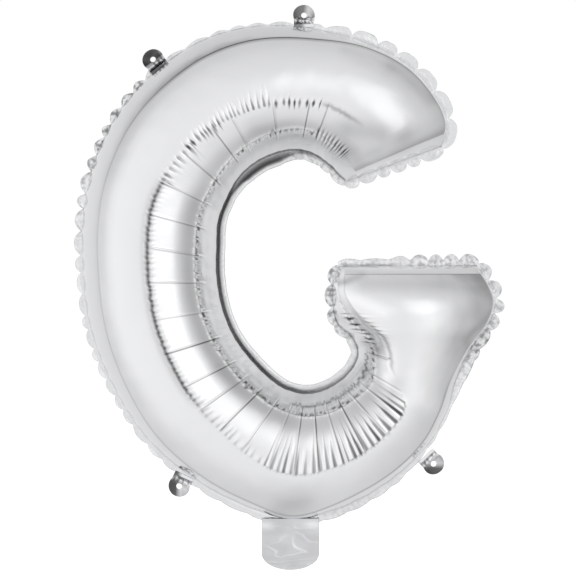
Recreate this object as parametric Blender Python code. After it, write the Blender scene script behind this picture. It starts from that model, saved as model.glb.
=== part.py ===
"""Letter G foil balloon, air filled, as an assembly of its film pieces.

Units are metres, +Z is up and the front faces -Y. The origin is the centre of the hole
in the top hanging tab. The two inflated panels meet on the plane y = 0, where a flat
welded margin runs all round the letter. The margin carries four tabs with holes and the
filler tail. The real film is far thinner than a solid can be here, so each film is drawn
as a shell or plate about a millimetre thick.
"""

import math

import bmesh
import bpy
from mathutils import Vector

MM = 0.001

# Plan of the letter, in millimetres: weld line stations along the stroke, from the upper
# terminal over the top, round the bowl and up into the bar. Each station holds the outer
# weld point (x, z) and the inner weld point (x, z) across the stroke from it.
WELD_STATIONS_MM = (
    (96, -92, 29.5, -116.5), (100, -76, 24, -112), (92, -57, 19.5, -107), (75, -37, 14.5, -103),
    (50, -22, 8, -98.5), (22, -14, 0, -95.5), (-9, -10, -10, -95), (-44, -12, -22, -98),
    (-77, -24, -34, -104), (-106, -44, -45, -114), (-130, -73, -53, -128), (-147, -108, -59, -144),
    (-154, -143, -60, -162), (-155, -178, -60, -182), (-150, -217, -56, -205), (-135, -257, -47, -226),
    (-110, -296, -32, -245), (-76, -325, -17, -258), (-41, -343.5, -6, -262.5), (-9, -352, 1, -263.5),
    (24, -345.5, 9, -262.5), (57, -328, 18, -259), (84, -303.5, 28, -252), (99, -279, 35, -243),
    (107, -255, 37, -234), (117, -234, 32, -224), (129, -217, 23, -216), (134, -201, 20, -202),
    (130, -188, 20, -188), (121, -177, 25, -178),
)

# Film thicknesses as drawn, and the gap left between pieces that touch.
PANEL_WALL = 1.0 * MM
MARGIN_THICKNESS = 1.0 * MM
TAIL_FILM = 0.6 * MM
SLEEVE_FILM = 0.4 * MM
TOUCH_GAP = 0.3 * MM

# Inflated depth of one side at the crest, where the stroke has its full width.
CREST_HEIGHT = 31.0 * MM
FULL_STROKE_WIDTH = 90.0 * MM
NARROW_STROKE_POWER = 0.8
TERMINAL_ROUNDING = 34.0 * MM
BAR_ROUNDING = 30.0 * MM
ROUNDING_POWER = 2.2

# Section across the stroke: place from the outer weld (0) to the inner weld (1), height
# as a share of the crest, and how deep the radial ribs are there. The kinks are the
# creases beside the outer collar and on both sides of the ribbed band.
SECTION = (
    (0.000, 0.00, 0.0),
    (0.012, 0.24, 0.0),
    (0.050, 0.50, 0.0),
    (0.130, 0.75, 0.0),
    (0.200, 0.90, 0.0),
    (0.310, 0.985, 0.0),
    (0.420, 1.00, 0.0),
    (0.500, 0.95, 0.3),
    (0.600, 0.93, 1.0),
    (0.720, 0.85, 1.0),
    (0.840, 0.68, 0.8),
    (0.920, 0.56, 0.2),
    (0.975, 0.34, 0.0),
    (1.000, 0.00, 0.0),
)
GUIDE_PLACE = 0.62

# Radial ribs that pucker the inner half of the stroke.
RIB_COUNT = 26
RIB_DEPTH = 2.2 * MM
RIB_STEPS = 4
RIBS_FROM = 60.0 * MM
RIBS_TO_END = 95.0 * MM
RIB_FADE = 35.0 * MM
END_STEPS = (0.0, 0.6 * MM, 3.0 * MM, 8.0 * MM, 15.0 * MM)

# Welded margin outside the panels, with the small scallops of its outer edge.
MARGIN_WIDTH = 4.0 * MM
INNER_MARGIN_WIDTH = 4.4 * MM
SCALLOP_LENGTH = 13.0 * MM
SCALLOP_DEPTH = 2.4 * MM
SCALLOP_POWER = 0.7
SCALLOP_STEPS = 4
SHARPEST_MITRE = 0.5

# Hanging tabs: hole centre (x, z), outward direction (x, z), and distance from the hole
# centre back to the root, where the tab bends.
TABS = {
    "eyelet_top": ((0.0, 0.0), (0.0, 1.0), 6.2 * MM),
    "eyelet_upper_left": ((-105.7 * MM, -30.8 * MM), (-0.61, 0.79), 6.2 * MM),
    "eyelet_lower_left": ((-87.4 * MM, -329.5 * MM), (-0.43, -0.90), 6.8 * MM),
    "eyelet_lower_right": ((90.7 * MM, -313.8 * MM), (0.70, -0.71), 6.4 * MM),
}
TAB_RADIUS = 7.6 * MM
TAB_HOLE_RADIUS = 2.0 * MM
TAB_ROOT_HALF_WIDTH = 7.0 * MM
TAB_ROOT_SPREAD = 1.4
TAB_ROOT_DROP = 1.25
TAB_THICKNESS = 1.0 * MM
TAB_POINTS = 28

# Strip left bare on each side of a fold line. The tail is three films thick, so it starts
# further from its line.
FOLD_HALF_GAP = 0.8 * MM
TAIL_FOLD_GAP = 1.2 * MM

# How far beside and how far from a tab or the tail the margin still ends on its fold.
TAB_SIDE_ROOM = 2.5 * MM
TAB_REACH = 30.0 * MM
TAIL_SIDE_ROOM = 1.0 * MM
TAIL_REACH = 20.0 * MM

# Filler tail below the bowl.
TAIL_CENTRE_X = -9.5 * MM
TAIL_FOLD_Z = -357.0 * MM
TAIL_END_Z = -388.0 * MM
TAIL_HALF_WIDTH = 20.0 * MM
TAIL_END_ROUND = 11.5 * MM
TAIL_ARC_STEPS = 16
SLEEVE_HALF_WIDTH = 11.0 * MM
SLEEVE_SET_BACK = 5.0 * MM

FOIL_COLOUR = (0.80, 0.81, 0.82, 1.0)
SLEEVE_COLOUR = (0.86, 0.87, 0.88, 1.0)
SPLINE_STEPS = 16


def clear_scene():
    for old in list(bpy.data.objects):
        bpy.data.objects.remove(old, do_unlink=True)


def make_material(name, colour, metallic, roughness):
    material = bpy.data.materials.new(name)
    material.use_nodes = True
    shader = material.node_tree.nodes["Principled BSDF"]
    shader.inputs["Base Color"].default_value = colour
    shader.inputs["Metallic"].default_value = metallic
    shader.inputs["Roughness"].default_value = roughness
    return material


def add_object(name, mesh_data, colour=FOIL_COLOUR, metallic=1.0, roughness=0.2, smooth_angle=35.0):
    """Turn a bmesh into a named object with its own material."""
    bmesh.ops.recalc_face_normals(mesh_data, faces=mesh_data.faces)
    mesh = bpy.data.meshes.new(name)
    mesh_data.to_mesh(mesh)
    mesh_data.free()
    mesh.shade_smooth()
    mesh.set_sharp_from_angle(angle=math.radians(smooth_angle))
    mesh.materials.append(make_material(name, colour, metallic, roughness))
    created = bpy.data.objects.new(name, mesh)
    bpy.context.collection.objects.link(created)
    return created


def spline_point(points, span, share):
    """Point on a Catmull-Rom curve between points[span] and points[span + 1]."""
    before = points[max(span - 1, 0)]
    start = points[span]
    end = points[span + 1]
    after = points[min(span + 2, len(points) - 1)]
    return 0.5 * (
        2.0 * start
        + (end - before) * share
        + (2.0 * before - 5.0 * start + 4.0 * end - after) * share ** 2
        + (3.0 * start - before - 3.0 * end + after) * share ** 3
    )


def smooth_curve(points):
    """Closely spaced points on the smooth curve through the given ones."""
    curve = []
    for span in range(len(points) - 1):
        for step in range(SPLINE_STEPS):
            curve.append(spline_point(points, span, step / SPLINE_STEPS))
    curve.append(points[-1].copy())
    return curve


def running_length(curve):
    """Distance from the start of the curve to each of its points."""
    lengths = [0.0]
    for first, second in zip(curve, curve[1:]):
        lengths.append(lengths[-1] + (second - first).length)
    return lengths


def at_length(curve, lengths, distance):
    """Point on a polyline at a distance along it."""
    distance = min(max(distance, 0.0), lengths[-1])
    index = 0
    while index < len(lengths) - 2 and lengths[index + 1] < distance:
        index += 1
    share = (distance - lengths[index]) / (lengths[index + 1] - lengths[index])
    return curve[index].lerp(curve[index + 1], share)


class Stroke:
    """The letter's stroke: its two weld lines, read by distance along a guide line."""

    def __init__(self):
        outer = [Vector((row[0] * MM, row[1] * MM)) for row in WELD_STATIONS_MM]
        inner = [Vector((row[2] * MM, row[3] * MM)) for row in WELD_STATIONS_MM]
        self.outer_curve = smooth_curve(outer)
        self.inner_curve = smooth_curve(inner)
        pairs = zip(self.outer_curve, self.inner_curve)
        self.lengths = running_length([a.lerp(b, GUIDE_PLACE) for a, b in pairs])
        self.length = self.lengths[-1]

    def weld_points(self, distance):
        outer = at_length(self.outer_curve, self.lengths, distance)
        inner = at_length(self.inner_curve, self.lengths, distance)
        return outer, inner

    def places(self):
        """Distances of the panel's rows: close together at both ends, then four to a rib."""
        middle = self.length - END_STEPS[-1] * 2.0
        count = RIB_COUNT * RIB_STEPS
        rows = list(END_STEPS)
        rows += [END_STEPS[-1] + middle * step / count for step in range(1, count)]
        rows += [self.length - step for step in reversed(END_STEPS)]
        return rows


def ramp(value, start, span):
    """Smooth rise from 0 at start to 1 at start + span."""
    share = min(max((value - start) / span, 0.0), 1.0)
    return share * share * (3.0 - 2.0 * share)


def end_rounding(distance, span):
    """Share of full height near a closed end of the stroke."""
    left = 1.0 - min(distance / span, 1.0)
    return math.sqrt(max(1.0 - left ** ROUNDING_POWER, 0.0))


def panel_height(stroke, distance, section_row, width):
    """Height of the film over the weld plane."""
    share, height, rib_share = section_row[0], section_row[1], section_row[2]
    to_end = stroke.length - distance
    crest = CREST_HEIGHT * min(width / FULL_STROKE_WIDTH, 1.0) ** NARROW_STROKE_POWER
    closing = end_rounding(distance, TERMINAL_ROUNDING) * end_rounding(to_end, BAR_ROUNDING)
    phase = (distance - END_STEPS[-1]) / (stroke.length - END_STEPS[-1] * 2.0) * RIB_COUNT
    valley = 0.5 - 0.5 * math.cos(2.0 * math.pi * phase)
    strength = ramp(distance, RIBS_FROM, RIB_FADE) * ramp(to_end, RIBS_TO_END, RIB_FADE)
    return crest * height * closing - RIB_DEPTH * rib_share * valley * strength


def panel_grid(stroke):
    """Rows of points of the front panel's outer face, as (x, y, z)."""
    rows = []
    for distance in stroke.places():
        outer, inner = stroke.weld_points(distance)
        width = (outer - inner).length
        row = []
        for section_row in SECTION:
            plan = outer.lerp(inner, section_row[0])
            height = panel_height(stroke, distance, section_row, width)
            row.append(Vector((plan.x, -height - TOUCH_GAP / 2.0, plan.y)))
        rows.append(row)
    return rows


def inset_edges(rows, amount):
    """Move the rim of a grid inwards in the weld plane, by an amount from each edge."""
    last_row = len(rows) - 1
    last_place = len(rows[0]) - 1
    moved = {}
    for row_index, row in enumerate(rows):
        for place in (0, last_place):
            other = row[1] if place == 0 else row[-2]
            moved[(row_index, place)] = flat_direction(row[place], other) * amount
    for row_index in (0, last_row):
        beside = rows[1] if row_index == 0 else rows[-2]
        for place in range(last_place + 1):
            step = flat_direction(rows[row_index][place], beside[place]) * amount
            moved[(row_index, place)] = moved.get((row_index, place), Vector()) + step
    return moved


def flat_direction(start, end):
    """Unit direction from one point to another within the weld plane."""
    direction = Vector((end.x - start.x, 0.0, end.z - start.z))
    return direction.normalized()


def build_panel(name, stroke, side):
    """One inflated sheet as a dished shell, open towards the weld plane.

    side is 1 for the front sheet and -1 for its mirror image behind.
    """
    rows = panel_grid(stroke)
    mesh_data = bmesh.new()
    face_points = [[mesh_data.verts.new(point) for point in row] for row in rows]
    skin_grid(mesh_data, face_points, False)
    bmesh.ops.recalc_face_normals(mesh_data, faces=mesh_data.faces)
    mesh_data.normal_update()
    middle_row = face_points[len(face_points) // 2]
    middle_point = middle_row[len(middle_row) // 2]
    flip = -1.0 if middle_point.normal.y > 0.0 else 1.0

    rim_shift = inset_edges(rows, PANEL_WALL)
    back_points = []
    for row_index, row in enumerate(face_points):
        back_row = []
        for place, vertex in enumerate(row):
            shift = rim_shift.get((row_index, place))
            if shift is None:
                shift = vertex.normal * (-flip * PANEL_WALL)
            back_row.append(mesh_data.verts.new(vertex.co + shift))
        back_points.append(back_row)
    skin_grid(mesh_data, back_points, True)
    close_rim(mesh_data, face_points, back_points)
    if side < 0:
        bmesh.ops.scale(mesh_data, vec=(1.0, -1.0, 1.0), verts=mesh_data.verts)
    return add_object(name, mesh_data)


def skin_grid(mesh_data, grid, reverse):
    """Four-sided faces between the points of a grid."""
    for row, next_row in zip(grid, grid[1:]):
        for place in range(len(row) - 1):
            corners = [row[place], row[place + 1], next_row[place + 1], next_row[place]]
            if reverse:
                corners.reverse()
            mesh_data.faces.new(corners)


def grid_rim(grid):
    """The grid's outermost points, once round."""
    rim = list(grid[0])
    rim += [row[-1] for row in grid[1:]]
    rim += list(reversed(grid[-1][:-1]))
    rim += [row[0] for row in reversed(grid[1:-1])]
    return rim


def close_rim(mesh_data, face_points, back_points):
    """Join the rims of a shell's outer and inner face."""
    face_rim = grid_rim(face_points)
    back_rim = grid_rim(back_points)
    for index, point in enumerate(face_rim):
        after = (index + 1) % len(face_rim)
        mesh_data.faces.new([point, face_rim[after], back_rim[after], back_rim[index]])


def outward(before, after):
    """Unit normal on the right of a step, which is outside the letter."""
    step = (after - before).normalized()
    return Vector((step.y, -step.x))


def mitre(first, second):
    """Offset that keeps its distance from both edges of a corner."""
    middle = (first + second).normalized()
    return middle / max(middle.dot(first), SHARPEST_MITRE)


def letter_runs(stroke):
    """The weld line as four runs, once round the letter with the outside on the right."""
    places = stroke.places()
    outer = [stroke.weld_points(distance)[0] for distance in places]
    inner = [stroke.weld_points(distance)[1] for distance in reversed(places)]
    return {
        "outer": outer,
        "bar": [outer[-1], inner[0]],
        "inner": inner,
        "terminal": [inner[-1], outer[0]],
    }


def resample(curve, count):
    """Points at even steps along a curve."""
    lengths = running_length(curve)
    return [at_length(curve, lengths, lengths[-1] * index / count) for index in range(count + 1)]


def tab_root_limit(point, offset):
    """Shorten or lengthen a margin offset so that it ends on a tab's or the tail's fold."""
    for centre, direction, root_distance in TABS.values():
        outwards = Vector(direction).normalized()
        along = Vector((outwards.y, -outwards.x))
        from_centre = point + offset - Vector(centre)
        beside = abs(from_centre.dot(along)) < TAB_ROOT_HALF_WIDTH + TAB_SIDE_ROOM
        if beside and from_centre.length < TAB_REACH:
            target = -root_distance - FOLD_HALF_GAP
            return offset + outwards * (target - from_centre.dot(outwards))
    end = point + offset
    beside = abs(end.x - TAIL_CENTRE_X) < TAIL_HALF_WIDTH + TAIL_SIDE_ROOM
    if beside and end.y < TAIL_FOLD_Z + TAIL_REACH:
        return Vector((offset.x, TAIL_FOLD_Z + FOLD_HALF_GAP - point.y))
    return offset


def margin_run(name, points, first_normal, last_normal, width_at):
    """One run of the welded margin, as a thin flat strip outside the panels."""
    near_edge = []
    far_edge = []
    lengths = running_length(points)
    for index, point in enumerate(points):
        if index == 0:
            normal = first_normal
        elif index == len(points) - 1:
            normal = last_normal
        else:
            normal = mitre(outward(points[index - 1], point), outward(point, points[index + 1]))
        near_edge.append(point + normal * TOUCH_GAP)
        offset = normal * width_at(lengths[index], lengths[-1])
        far_edge.append(point + tab_root_limit(point, offset))
    for edge in (near_edge, far_edge):
        edge[0] = edge[0] + (points[1] - points[0]).normalized() * (TOUCH_GAP / 2.0)
        edge[-1] = edge[-1] + (points[-2] - points[-1]).normalized() * (TOUCH_GAP / 2.0)

    mesh_data = bmesh.new()
    levels = []
    for y in (-MARGIN_THICKNESS / 2.0, MARGIN_THICKNESS / 2.0):
        near = [mesh_data.verts.new((p.x, y, p.y)) for p in near_edge]
        far = [mesh_data.verts.new((p.x, y, p.y)) for p in far_edge]
        levels.append((near, far))
    (near_front, far_front), (near_back, far_back) = levels
    for index in range(len(points) - 1):
        after = index + 1
        mesh_data.faces.new([near_front[index], near_front[after], far_front[after], far_front[index]])
        mesh_data.faces.new([near_back[index], far_back[index], far_back[after], near_back[after]])
        mesh_data.faces.new([far_front[index], far_front[after], far_back[after], far_back[index]])
        mesh_data.faces.new([near_front[index], near_back[index], near_back[after], near_front[after]])
    for index in (0, -1):
        mesh_data.faces.new([near_front[index], far_front[index], far_back[index], near_back[index]])
    return add_object(name, mesh_data)


def scalloped_width(distance, total):
    """Margin width that swells between the pinch points of the outer edge."""
    count = max(1, round(total / SCALLOP_LENGTH))
    phase = distance / total * count
    return MARGIN_WIDTH + SCALLOP_DEPTH * abs(math.sin(math.pi * phase)) ** SCALLOP_POWER


def plain_width(_distance, _total):
    return INNER_MARGIN_WIDTH


def build_margin(stroke):
    """The welded margin, split where the letter's outline turns its four corners."""
    runs = letter_runs(stroke)
    order = ("outer", "bar", "inner", "terminal")
    for index, key in enumerate(order):
        previous = runs[order[index - 1]]
        following = runs[order[(index + 1) % len(order)]]
        curve = runs[key]
        points = curve
        if key != "inner":
            scallops = max(1, round(running_length(curve)[-1] / SCALLOP_LENGTH))
            points = resample(curve, scallops * SCALLOP_STEPS)
        first = mitre(outward(previous[-2], previous[-1]), outward(curve[0], curve[1]))
        last = mitre(outward(curve[-2], curve[-1]), outward(following[0], following[1]))
        width_at = plain_width if key == "inner" else scalloped_width
        margin_run(key + "_weld", points, first, last, width_at)


def tab_outline(root_distance):
    """Outline of a tab about its hole, with +y outwards and a straight root below."""
    root = -(root_distance - FOLD_HALF_GAP)
    outline = []
    for step in range(TAB_POINTS):
        angle = 2.0 * math.pi * step / TAB_POINTS - math.pi / 2.0
        x = TAB_RADIUS * math.cos(angle)
        y = TAB_RADIUS * math.sin(angle)
        if y < 0.0:
            x = TAB_ROOT_HALF_WIDTH * max(min(math.cos(angle) * TAB_ROOT_SPREAD, 1.0), -1.0)
            y = max(y * TAB_ROOT_DROP, root)
        outline.append(Vector((x, y)))
    return outline


def build_tab(name, centre, direction, root_distance):
    """A flat tab with a round hole, bent along its root line."""
    outwards = Vector(direction).normalized()
    along = Vector((outwards.y, -outwards.x))
    outline = tab_outline(root_distance)
    hole = []
    for step in range(TAB_POINTS):
        angle = 2.0 * math.pi * step / TAB_POINTS - math.pi / 2.0
        hole.append(Vector((math.cos(angle), math.sin(angle))) * TAB_HOLE_RADIUS)

    root = Vector(centre) - outwards * root_distance
    mesh_data = bmesh.new()

    def place(flat, y):
        plan = Vector(centre) + along * flat.x + outwards * flat.y - root
        return mesh_data.verts.new((plan.x, y, plan.y))

    half = TAB_THICKNESS / 2.0
    loops = []
    for loop, y in ((outline, -half), (hole, -half), (hole, half), (outline, half)):
        loops.append([place(flat, y) for flat in loop])
    for first, second in zip(loops, loops[1:] + loops[:1]):
        for index in range(TAB_POINTS):
            after = (index + 1) % TAB_POINTS
            mesh_data.faces.new([first[index], first[after], second[after], second[index]])
    tab = add_object(name, mesh_data)
    tab.location = (root.x, 0.0, root.y)
    return tab


def tail_outline(half_width, top, bottom, corner_depth):
    """Outline of a tail film, flat at the fold and rounded at its free end."""
    points = [Vector((half_width, top)), Vector((-half_width, top))]
    for step in range(TAIL_ARC_STEPS + 1):
        angle = math.pi + math.pi * step / TAIL_ARC_STEPS
        x = half_width * math.cos(angle)
        y = bottom + corner_depth * (1.0 + math.sin(angle))
        points.append(Vector((x, y)))
    return points


def build_film(name, outline, y_front, y_back, colour=FOIL_COLOUR, metallic=1.0):
    """A flat film between two depths, with its origin on the tail's fold line."""
    mesh_data = bmesh.new()
    front = [mesh_data.verts.new((p.x, y_front, p.y - TAIL_FOLD_Z)) for p in outline]
    back = [mesh_data.verts.new((p.x, y_back, p.y - TAIL_FOLD_Z)) for p in outline]
    mesh_data.faces.new(front)
    mesh_data.faces.new(list(reversed(back)))
    for index in range(len(outline)):
        after = (index + 1) % len(outline)
        mesh_data.faces.new([front[index], back[index], back[after], front[after]])
    film = add_object(name, mesh_data, colour, metallic)
    film.location = (TAIL_CENTRE_X, 0.0, TAIL_FOLD_Z)
    return film


def build_tail():
    """Two foil films with the thin valve sleeve lying flat between them."""
    top = TAIL_FOLD_Z - TAIL_FOLD_GAP
    foil_outline = tail_outline(TAIL_HALF_WIDTH, top, TAIL_END_Z, TAIL_END_ROUND)
    sleeve_end = TAIL_END_Z + SLEEVE_SET_BACK
    sleeve_outline = tail_outline(SLEEVE_HALF_WIDTH, top, sleeve_end, TAIL_END_ROUND / 2.0)
    sleeve_half = SLEEVE_FILM / 2.0
    film_near = sleeve_half + TOUCH_GAP
    film_far = film_near + TAIL_FILM
    build_film("tail_front_film", foil_outline, -film_far, -film_near)
    build_film("tail_back_film", foil_outline, film_near, film_far)
    build_film("valve_sleeve", sleeve_outline, -sleeve_half, sleeve_half, SLEEVE_COLOUR, 0.0)


def main():
    clear_scene()
    stroke = Stroke()
    build_panel("front_panel", stroke, 1)
    build_panel("back_panel", stroke, -1)
    build_margin(stroke)
    for name, (centre, direction, root_distance) in TABS.items():
        build_tab(name, centre, direction, root_distance)
    build_tail()


main()
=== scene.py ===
# %% [markdown]
# # A silver foil letter balloon
# The real balloon is two sheets of metallised film, welded together along the outline of
# a letter G and blown up. Outside the weld runs a flat margin of welded film, with four
# small hanging tabs and the filler tail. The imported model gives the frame: its bodies,
# its joints and its plain solids. This lesson dresses it in thin, wrinkled foil.

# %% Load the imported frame
import math

import bpy
import numpy as np
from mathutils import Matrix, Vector, noise


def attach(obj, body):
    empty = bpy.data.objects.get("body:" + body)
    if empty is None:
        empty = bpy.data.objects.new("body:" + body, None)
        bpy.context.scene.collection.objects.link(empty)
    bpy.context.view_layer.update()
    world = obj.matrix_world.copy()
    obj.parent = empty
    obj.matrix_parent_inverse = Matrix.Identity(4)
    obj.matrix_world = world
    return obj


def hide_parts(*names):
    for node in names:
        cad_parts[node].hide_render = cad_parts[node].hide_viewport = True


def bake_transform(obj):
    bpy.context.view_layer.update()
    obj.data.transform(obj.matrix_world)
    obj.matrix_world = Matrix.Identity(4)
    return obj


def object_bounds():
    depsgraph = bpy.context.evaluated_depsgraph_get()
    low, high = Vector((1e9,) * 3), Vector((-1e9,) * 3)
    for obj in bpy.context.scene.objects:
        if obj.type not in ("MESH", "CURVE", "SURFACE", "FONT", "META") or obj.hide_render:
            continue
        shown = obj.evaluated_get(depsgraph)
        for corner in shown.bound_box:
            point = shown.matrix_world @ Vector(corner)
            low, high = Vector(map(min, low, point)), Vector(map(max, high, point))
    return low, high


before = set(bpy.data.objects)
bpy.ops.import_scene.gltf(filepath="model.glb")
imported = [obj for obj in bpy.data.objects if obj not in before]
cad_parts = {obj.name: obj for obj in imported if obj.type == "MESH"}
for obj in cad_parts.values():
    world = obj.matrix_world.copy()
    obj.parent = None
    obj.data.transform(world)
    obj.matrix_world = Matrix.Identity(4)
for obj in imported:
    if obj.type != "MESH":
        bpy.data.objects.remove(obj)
cad_low, cad_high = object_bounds()
MM = 0.001
print("CAD box", [round(v, 4) for v in cad_low], [round(v, 4) for v in cad_high])

# %% [markdown]
# ## Camera
# The photograph looks straight at the letter from a little way off, with mild
# perspective. Its frame is square, and at the weld plane it covers 403 mm, so the lens
# follows from the distance.

# %% Camera
PHOTO_WIDTH = 403.2 * MM
PHOTO_CENTRE = Vector((-11.2 * MM, 0.0, -190.8 * MM))
CAMERA_DISTANCE = 1.5
SENSOR_WIDTH_MM = 36.0


def make_camera():
    data = bpy.data.cameras.new("camera")
    data.sensor_width = SENSOR_WIDTH_MM
    data.lens = SENSOR_WIDTH_MM * CAMERA_DISTANCE / PHOTO_WIDTH
    camera = bpy.data.objects.new("camera", data)
    camera.location = PHOTO_CENTRE + Vector((0.0, -CAMERA_DISTANCE, 0.0))
    camera.rotation_euler = (math.radians(90.0), 0.0, 0.0)
    bpy.context.scene.collection.objects.link(camera)
    bpy.context.scene.camera = camera
    return camera


camera = make_camera()
print("lens", round(camera.data.lens, 1), "mm")

# %% [markdown]
# ## The stroke of the letter
# Everything on the balloon follows the two weld lines, so they are laid out first, as in
# the construction: stations along the stroke, each with an outer and an inner weld point
# in millimetres. A smooth curve runs through them, and a guide line between the two gives
# one distance, along the stroke, that every later step uses.

# %% Weld lines
WELD_STATIONS_MM = (
    (96, -92, 29.5, -116.5), (100, -76, 24, -112), (92, -57, 19.5, -107), (75, -37, 14.5, -103),
    (50, -22, 8, -98.5), (22, -13, 0, -95.5), (-9, -7.5, -10, -95), (-43, -9, -22, -98),
    (-76, -20, -34, -104), (-107, -42, -45, -114), (-131.5, -71, -53, -128), (-148, -107, -59, -144),
    (-155, -143, -60, -162), (-155, -178, -60, -182), (-150, -217, -56, -205), (-135, -257, -47, -226),
    (-110, -296, -32, -245), (-76, -325, -17, -258), (-41, -343.5, -6, -262.5), (-9, -352, 1, -263.5),
    (24, -345.5, 9, -262.5), (57, -328, 18, -259), (84, -303.5, 28, -252), (99, -279, 35, -243),
    (107, -255, 37, -234), (117, -234, 32, -224), (129, -217, 23, -216), (134, -201, 20, -202),
    (130, -188, 20, -188), (121, -174.5, 24.5, -175.5),
)
GUIDE_SHARE = 0.62
SPLINE_STEPS = 24


def smooth_curve(points):
    """Catmull-Rom curve through the rows of an array."""
    padded = np.vstack([points[:1], points, points[-1:]])
    share = (np.arange(SPLINE_STEPS) / SPLINE_STEPS)[:, None]
    curve = []
    for before, start, end, after in zip(padded, padded[1:], padded[2:], padded[3:]):
        curve.append(0.5 * (
            2.0 * start
            + (end - before) * share
            + (2.0 * before - 5.0 * start + 4.0 * end - after) * share ** 2
            + (3.0 * start - before - 3.0 * end + after) * share ** 3
        ))
    return np.vstack(curve + [points[-1:]])


def running_length(curve):
    steps = np.linalg.norm(np.diff(curve, axis=0), axis=1)
    return np.concatenate([[0.0], np.cumsum(steps)])


stations = np.array(WELD_STATIONS_MM) * MM
outer_line = smooth_curve(stations[:, :2])
inner_line = smooth_curve(stations[:, 2:])
guide_lengths = running_length(outer_line * (1.0 - GUIDE_SHARE) + inner_line * GUIDE_SHARE)
STROKE_LENGTH = guide_lengths[-1]


def weld_points(distance):
    """Outer and inner weld points, as (x, z), at distances along the guide line."""
    outer = np.stack([np.interp(distance, guide_lengths, outer_line[:, k]) for k in (0, 1)], -1)
    inner = np.stack([np.interp(distance, guide_lengths, inner_line[:, k]) for k in (0, 1)], -1)
    return outer, inner


print("stroke", round(STROKE_LENGTH * 1000), "mm along the guide line")

# %% [markdown]
# ## The shape of an inflated sheet
# Air pushes each sheet up into a pillow between the welds. Across the stroke it has four
# zones, parted by three creases: the steep outer collar, the smooth crest, the ribbed
# band, where the inside of the bend is too long and puckers, and the steep inner collar.
# The creases wander along the stroke, so their places are given at a few distances.

# %% Where the creases run
CREASES = (
    # distance along the guide (mm); shares of the stroke's width from the outer weld to
    # the outer crease and to the ribbed band's two creases; heights there as shares of
    # the crest; slope of the foil just inside the outer crease
    (0, 0.020, 0.60, 0.88, 0.44, 0.94, 0.60, 0.56),
    (20, 0.030, 0.61, 0.86, 0.50, 0.94, 0.62, 0.60),
    (45, 0.045, 0.62, 0.85, 0.56, 0.94, 0.63, 0.58),
    (62, 0.068, 0.61, 0.84, 0.60, 0.945, 0.64, 0.54),
    (78, 0.112, 0.635, 0.835, 0.62, 0.945, 0.65, 0.52),
    (117, 0.136, 0.645, 0.86, 0.61, 0.95, 0.60, 0.52),
    (146, 0.146, 0.612, 0.87, 0.63, 0.955, 0.59, 0.52),
    (180, 0.142, 0.550, 0.86, 0.68, 0.96, 0.61, 0.50),
    (214, 0.140, 0.503, 0.845, 0.735, 0.965, 0.64, 0.47),
    (269, 0.138, 0.503, 0.84, 0.735, 0.965, 0.65, 0.47),
    (315, 0.105, 0.490, 0.84, 0.66, 0.965, 0.65, 0.50),
    (364, 0.070, 0.460, 0.837, 0.56, 0.96, 0.655, 0.54),
    (398, 0.058, 0.376, 0.83, 0.52, 0.93, 0.67, 0.56),
    (412, 0.020, 0.380, 0.82, 0.30, 0.92, 0.68, 0.66),
    (426, 0.064, 0.375, 0.81, 0.54, 0.915, 0.70, 0.54),
    (437, 0.075, 0.372, 0.80, 0.58, 0.91, 0.71, 0.52),
    (463, 0.060, 0.375, 0.79, 0.52, 0.905, 0.72, 0.54),
    (482, 0.075, 0.395, 0.77, 0.56, 0.91, 0.73, 0.54),
    (487, 0.078, 0.47, 0.79, 0.56, 0.93, 0.71, 0.56),
    (493, 0.080, 0.62, 0.82, 0.55, 0.95, 0.68, 0.58),
    (503, 0.066, 0.675, 0.84, 0.48, 0.94, 0.66, 0.64),
    (514, 0.042, 0.71, 0.84, 0.40, 0.925, 0.66, 0.72),
    (525, 0.026, 0.765, 0.87, 0.34, 0.90, 0.64, 0.80),
    (535, 0.018, 0.84, 0.92, 0.30, 0.87, 0.60, 0.84),
    (546, 0.015, 0.91, 0.96, 0.28, 0.83, 0.55, 0.84),
    (570, 0.020, 0.95, 0.98, 0.30, 0.80, 0.50, 0.80),
)
CREASE_SMOOTHING = 6.0 * MM
SMOOTHING_READINGS = 7

creases = np.array(CREASES)
MEASURED_LENGTH = creases[-1, 0] * MM


def guide_place(millimetres):
    """Distance along the guide line for a measured distance in millimetres."""
    return np.asarray(millimetres) * MM * STROKE_LENGTH / MEASURED_LENGTH


def crease_column(distance, column):
    """One column of the table, read a little before and after and averaged."""
    places = guide_place(creases[:, 0])
    shifts = np.linspace(-CREASE_SMOOTHING, CREASE_SMOOTHING, SMOOTHING_READINGS)
    readings = [np.interp(distance + shift, places, creases[:, column]) for shift in shifts]
    return sum(readings) / SMOOTHING_READINGS


def crease_shares(distance):
    """Knots across the stroke at each distance: weld, three creases, weld."""
    inner = [crease_column(distance, k) for k in (1, 2, 3)]
    return [np.zeros_like(distance), *inner, np.ones_like(distance)]


print("creases given at", len(CREASES), "places over", round(MEASURED_LENGTH / MM), "mm")

# %% [markdown]
# Between two creases the foil runs in one smooth curve. It leaves the first crease at one
# slope and meets the next at another, which is what a Hermite curve is made for. At both
# ends of the stroke the pillow closes, steeply up to a crease and then gently.

# %% Curves between the creases
def ellipse(share):
    """Height of an ellipse over its width, at a share of that width."""
    return np.sqrt(np.clip(1.0 - (1.0 - 2.0 * share) ** 2, 1e-6, 1.0))


def ellipse_slope(share):
    return 2.0 * (1.0 - 2.0 * share) / ellipse(share)


def hermite(share, start, end, start_slope, end_slope):
    s2, s3 = share ** 2, share ** 3
    return (
        start * (2.0 * s3 - 3.0 * s2 + 1.0) + start_slope * (s3 - 2.0 * s2 + share)
        + end * (3.0 * s2 - 2.0 * s3) + end_slope * (s3 - s2)
    )


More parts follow.
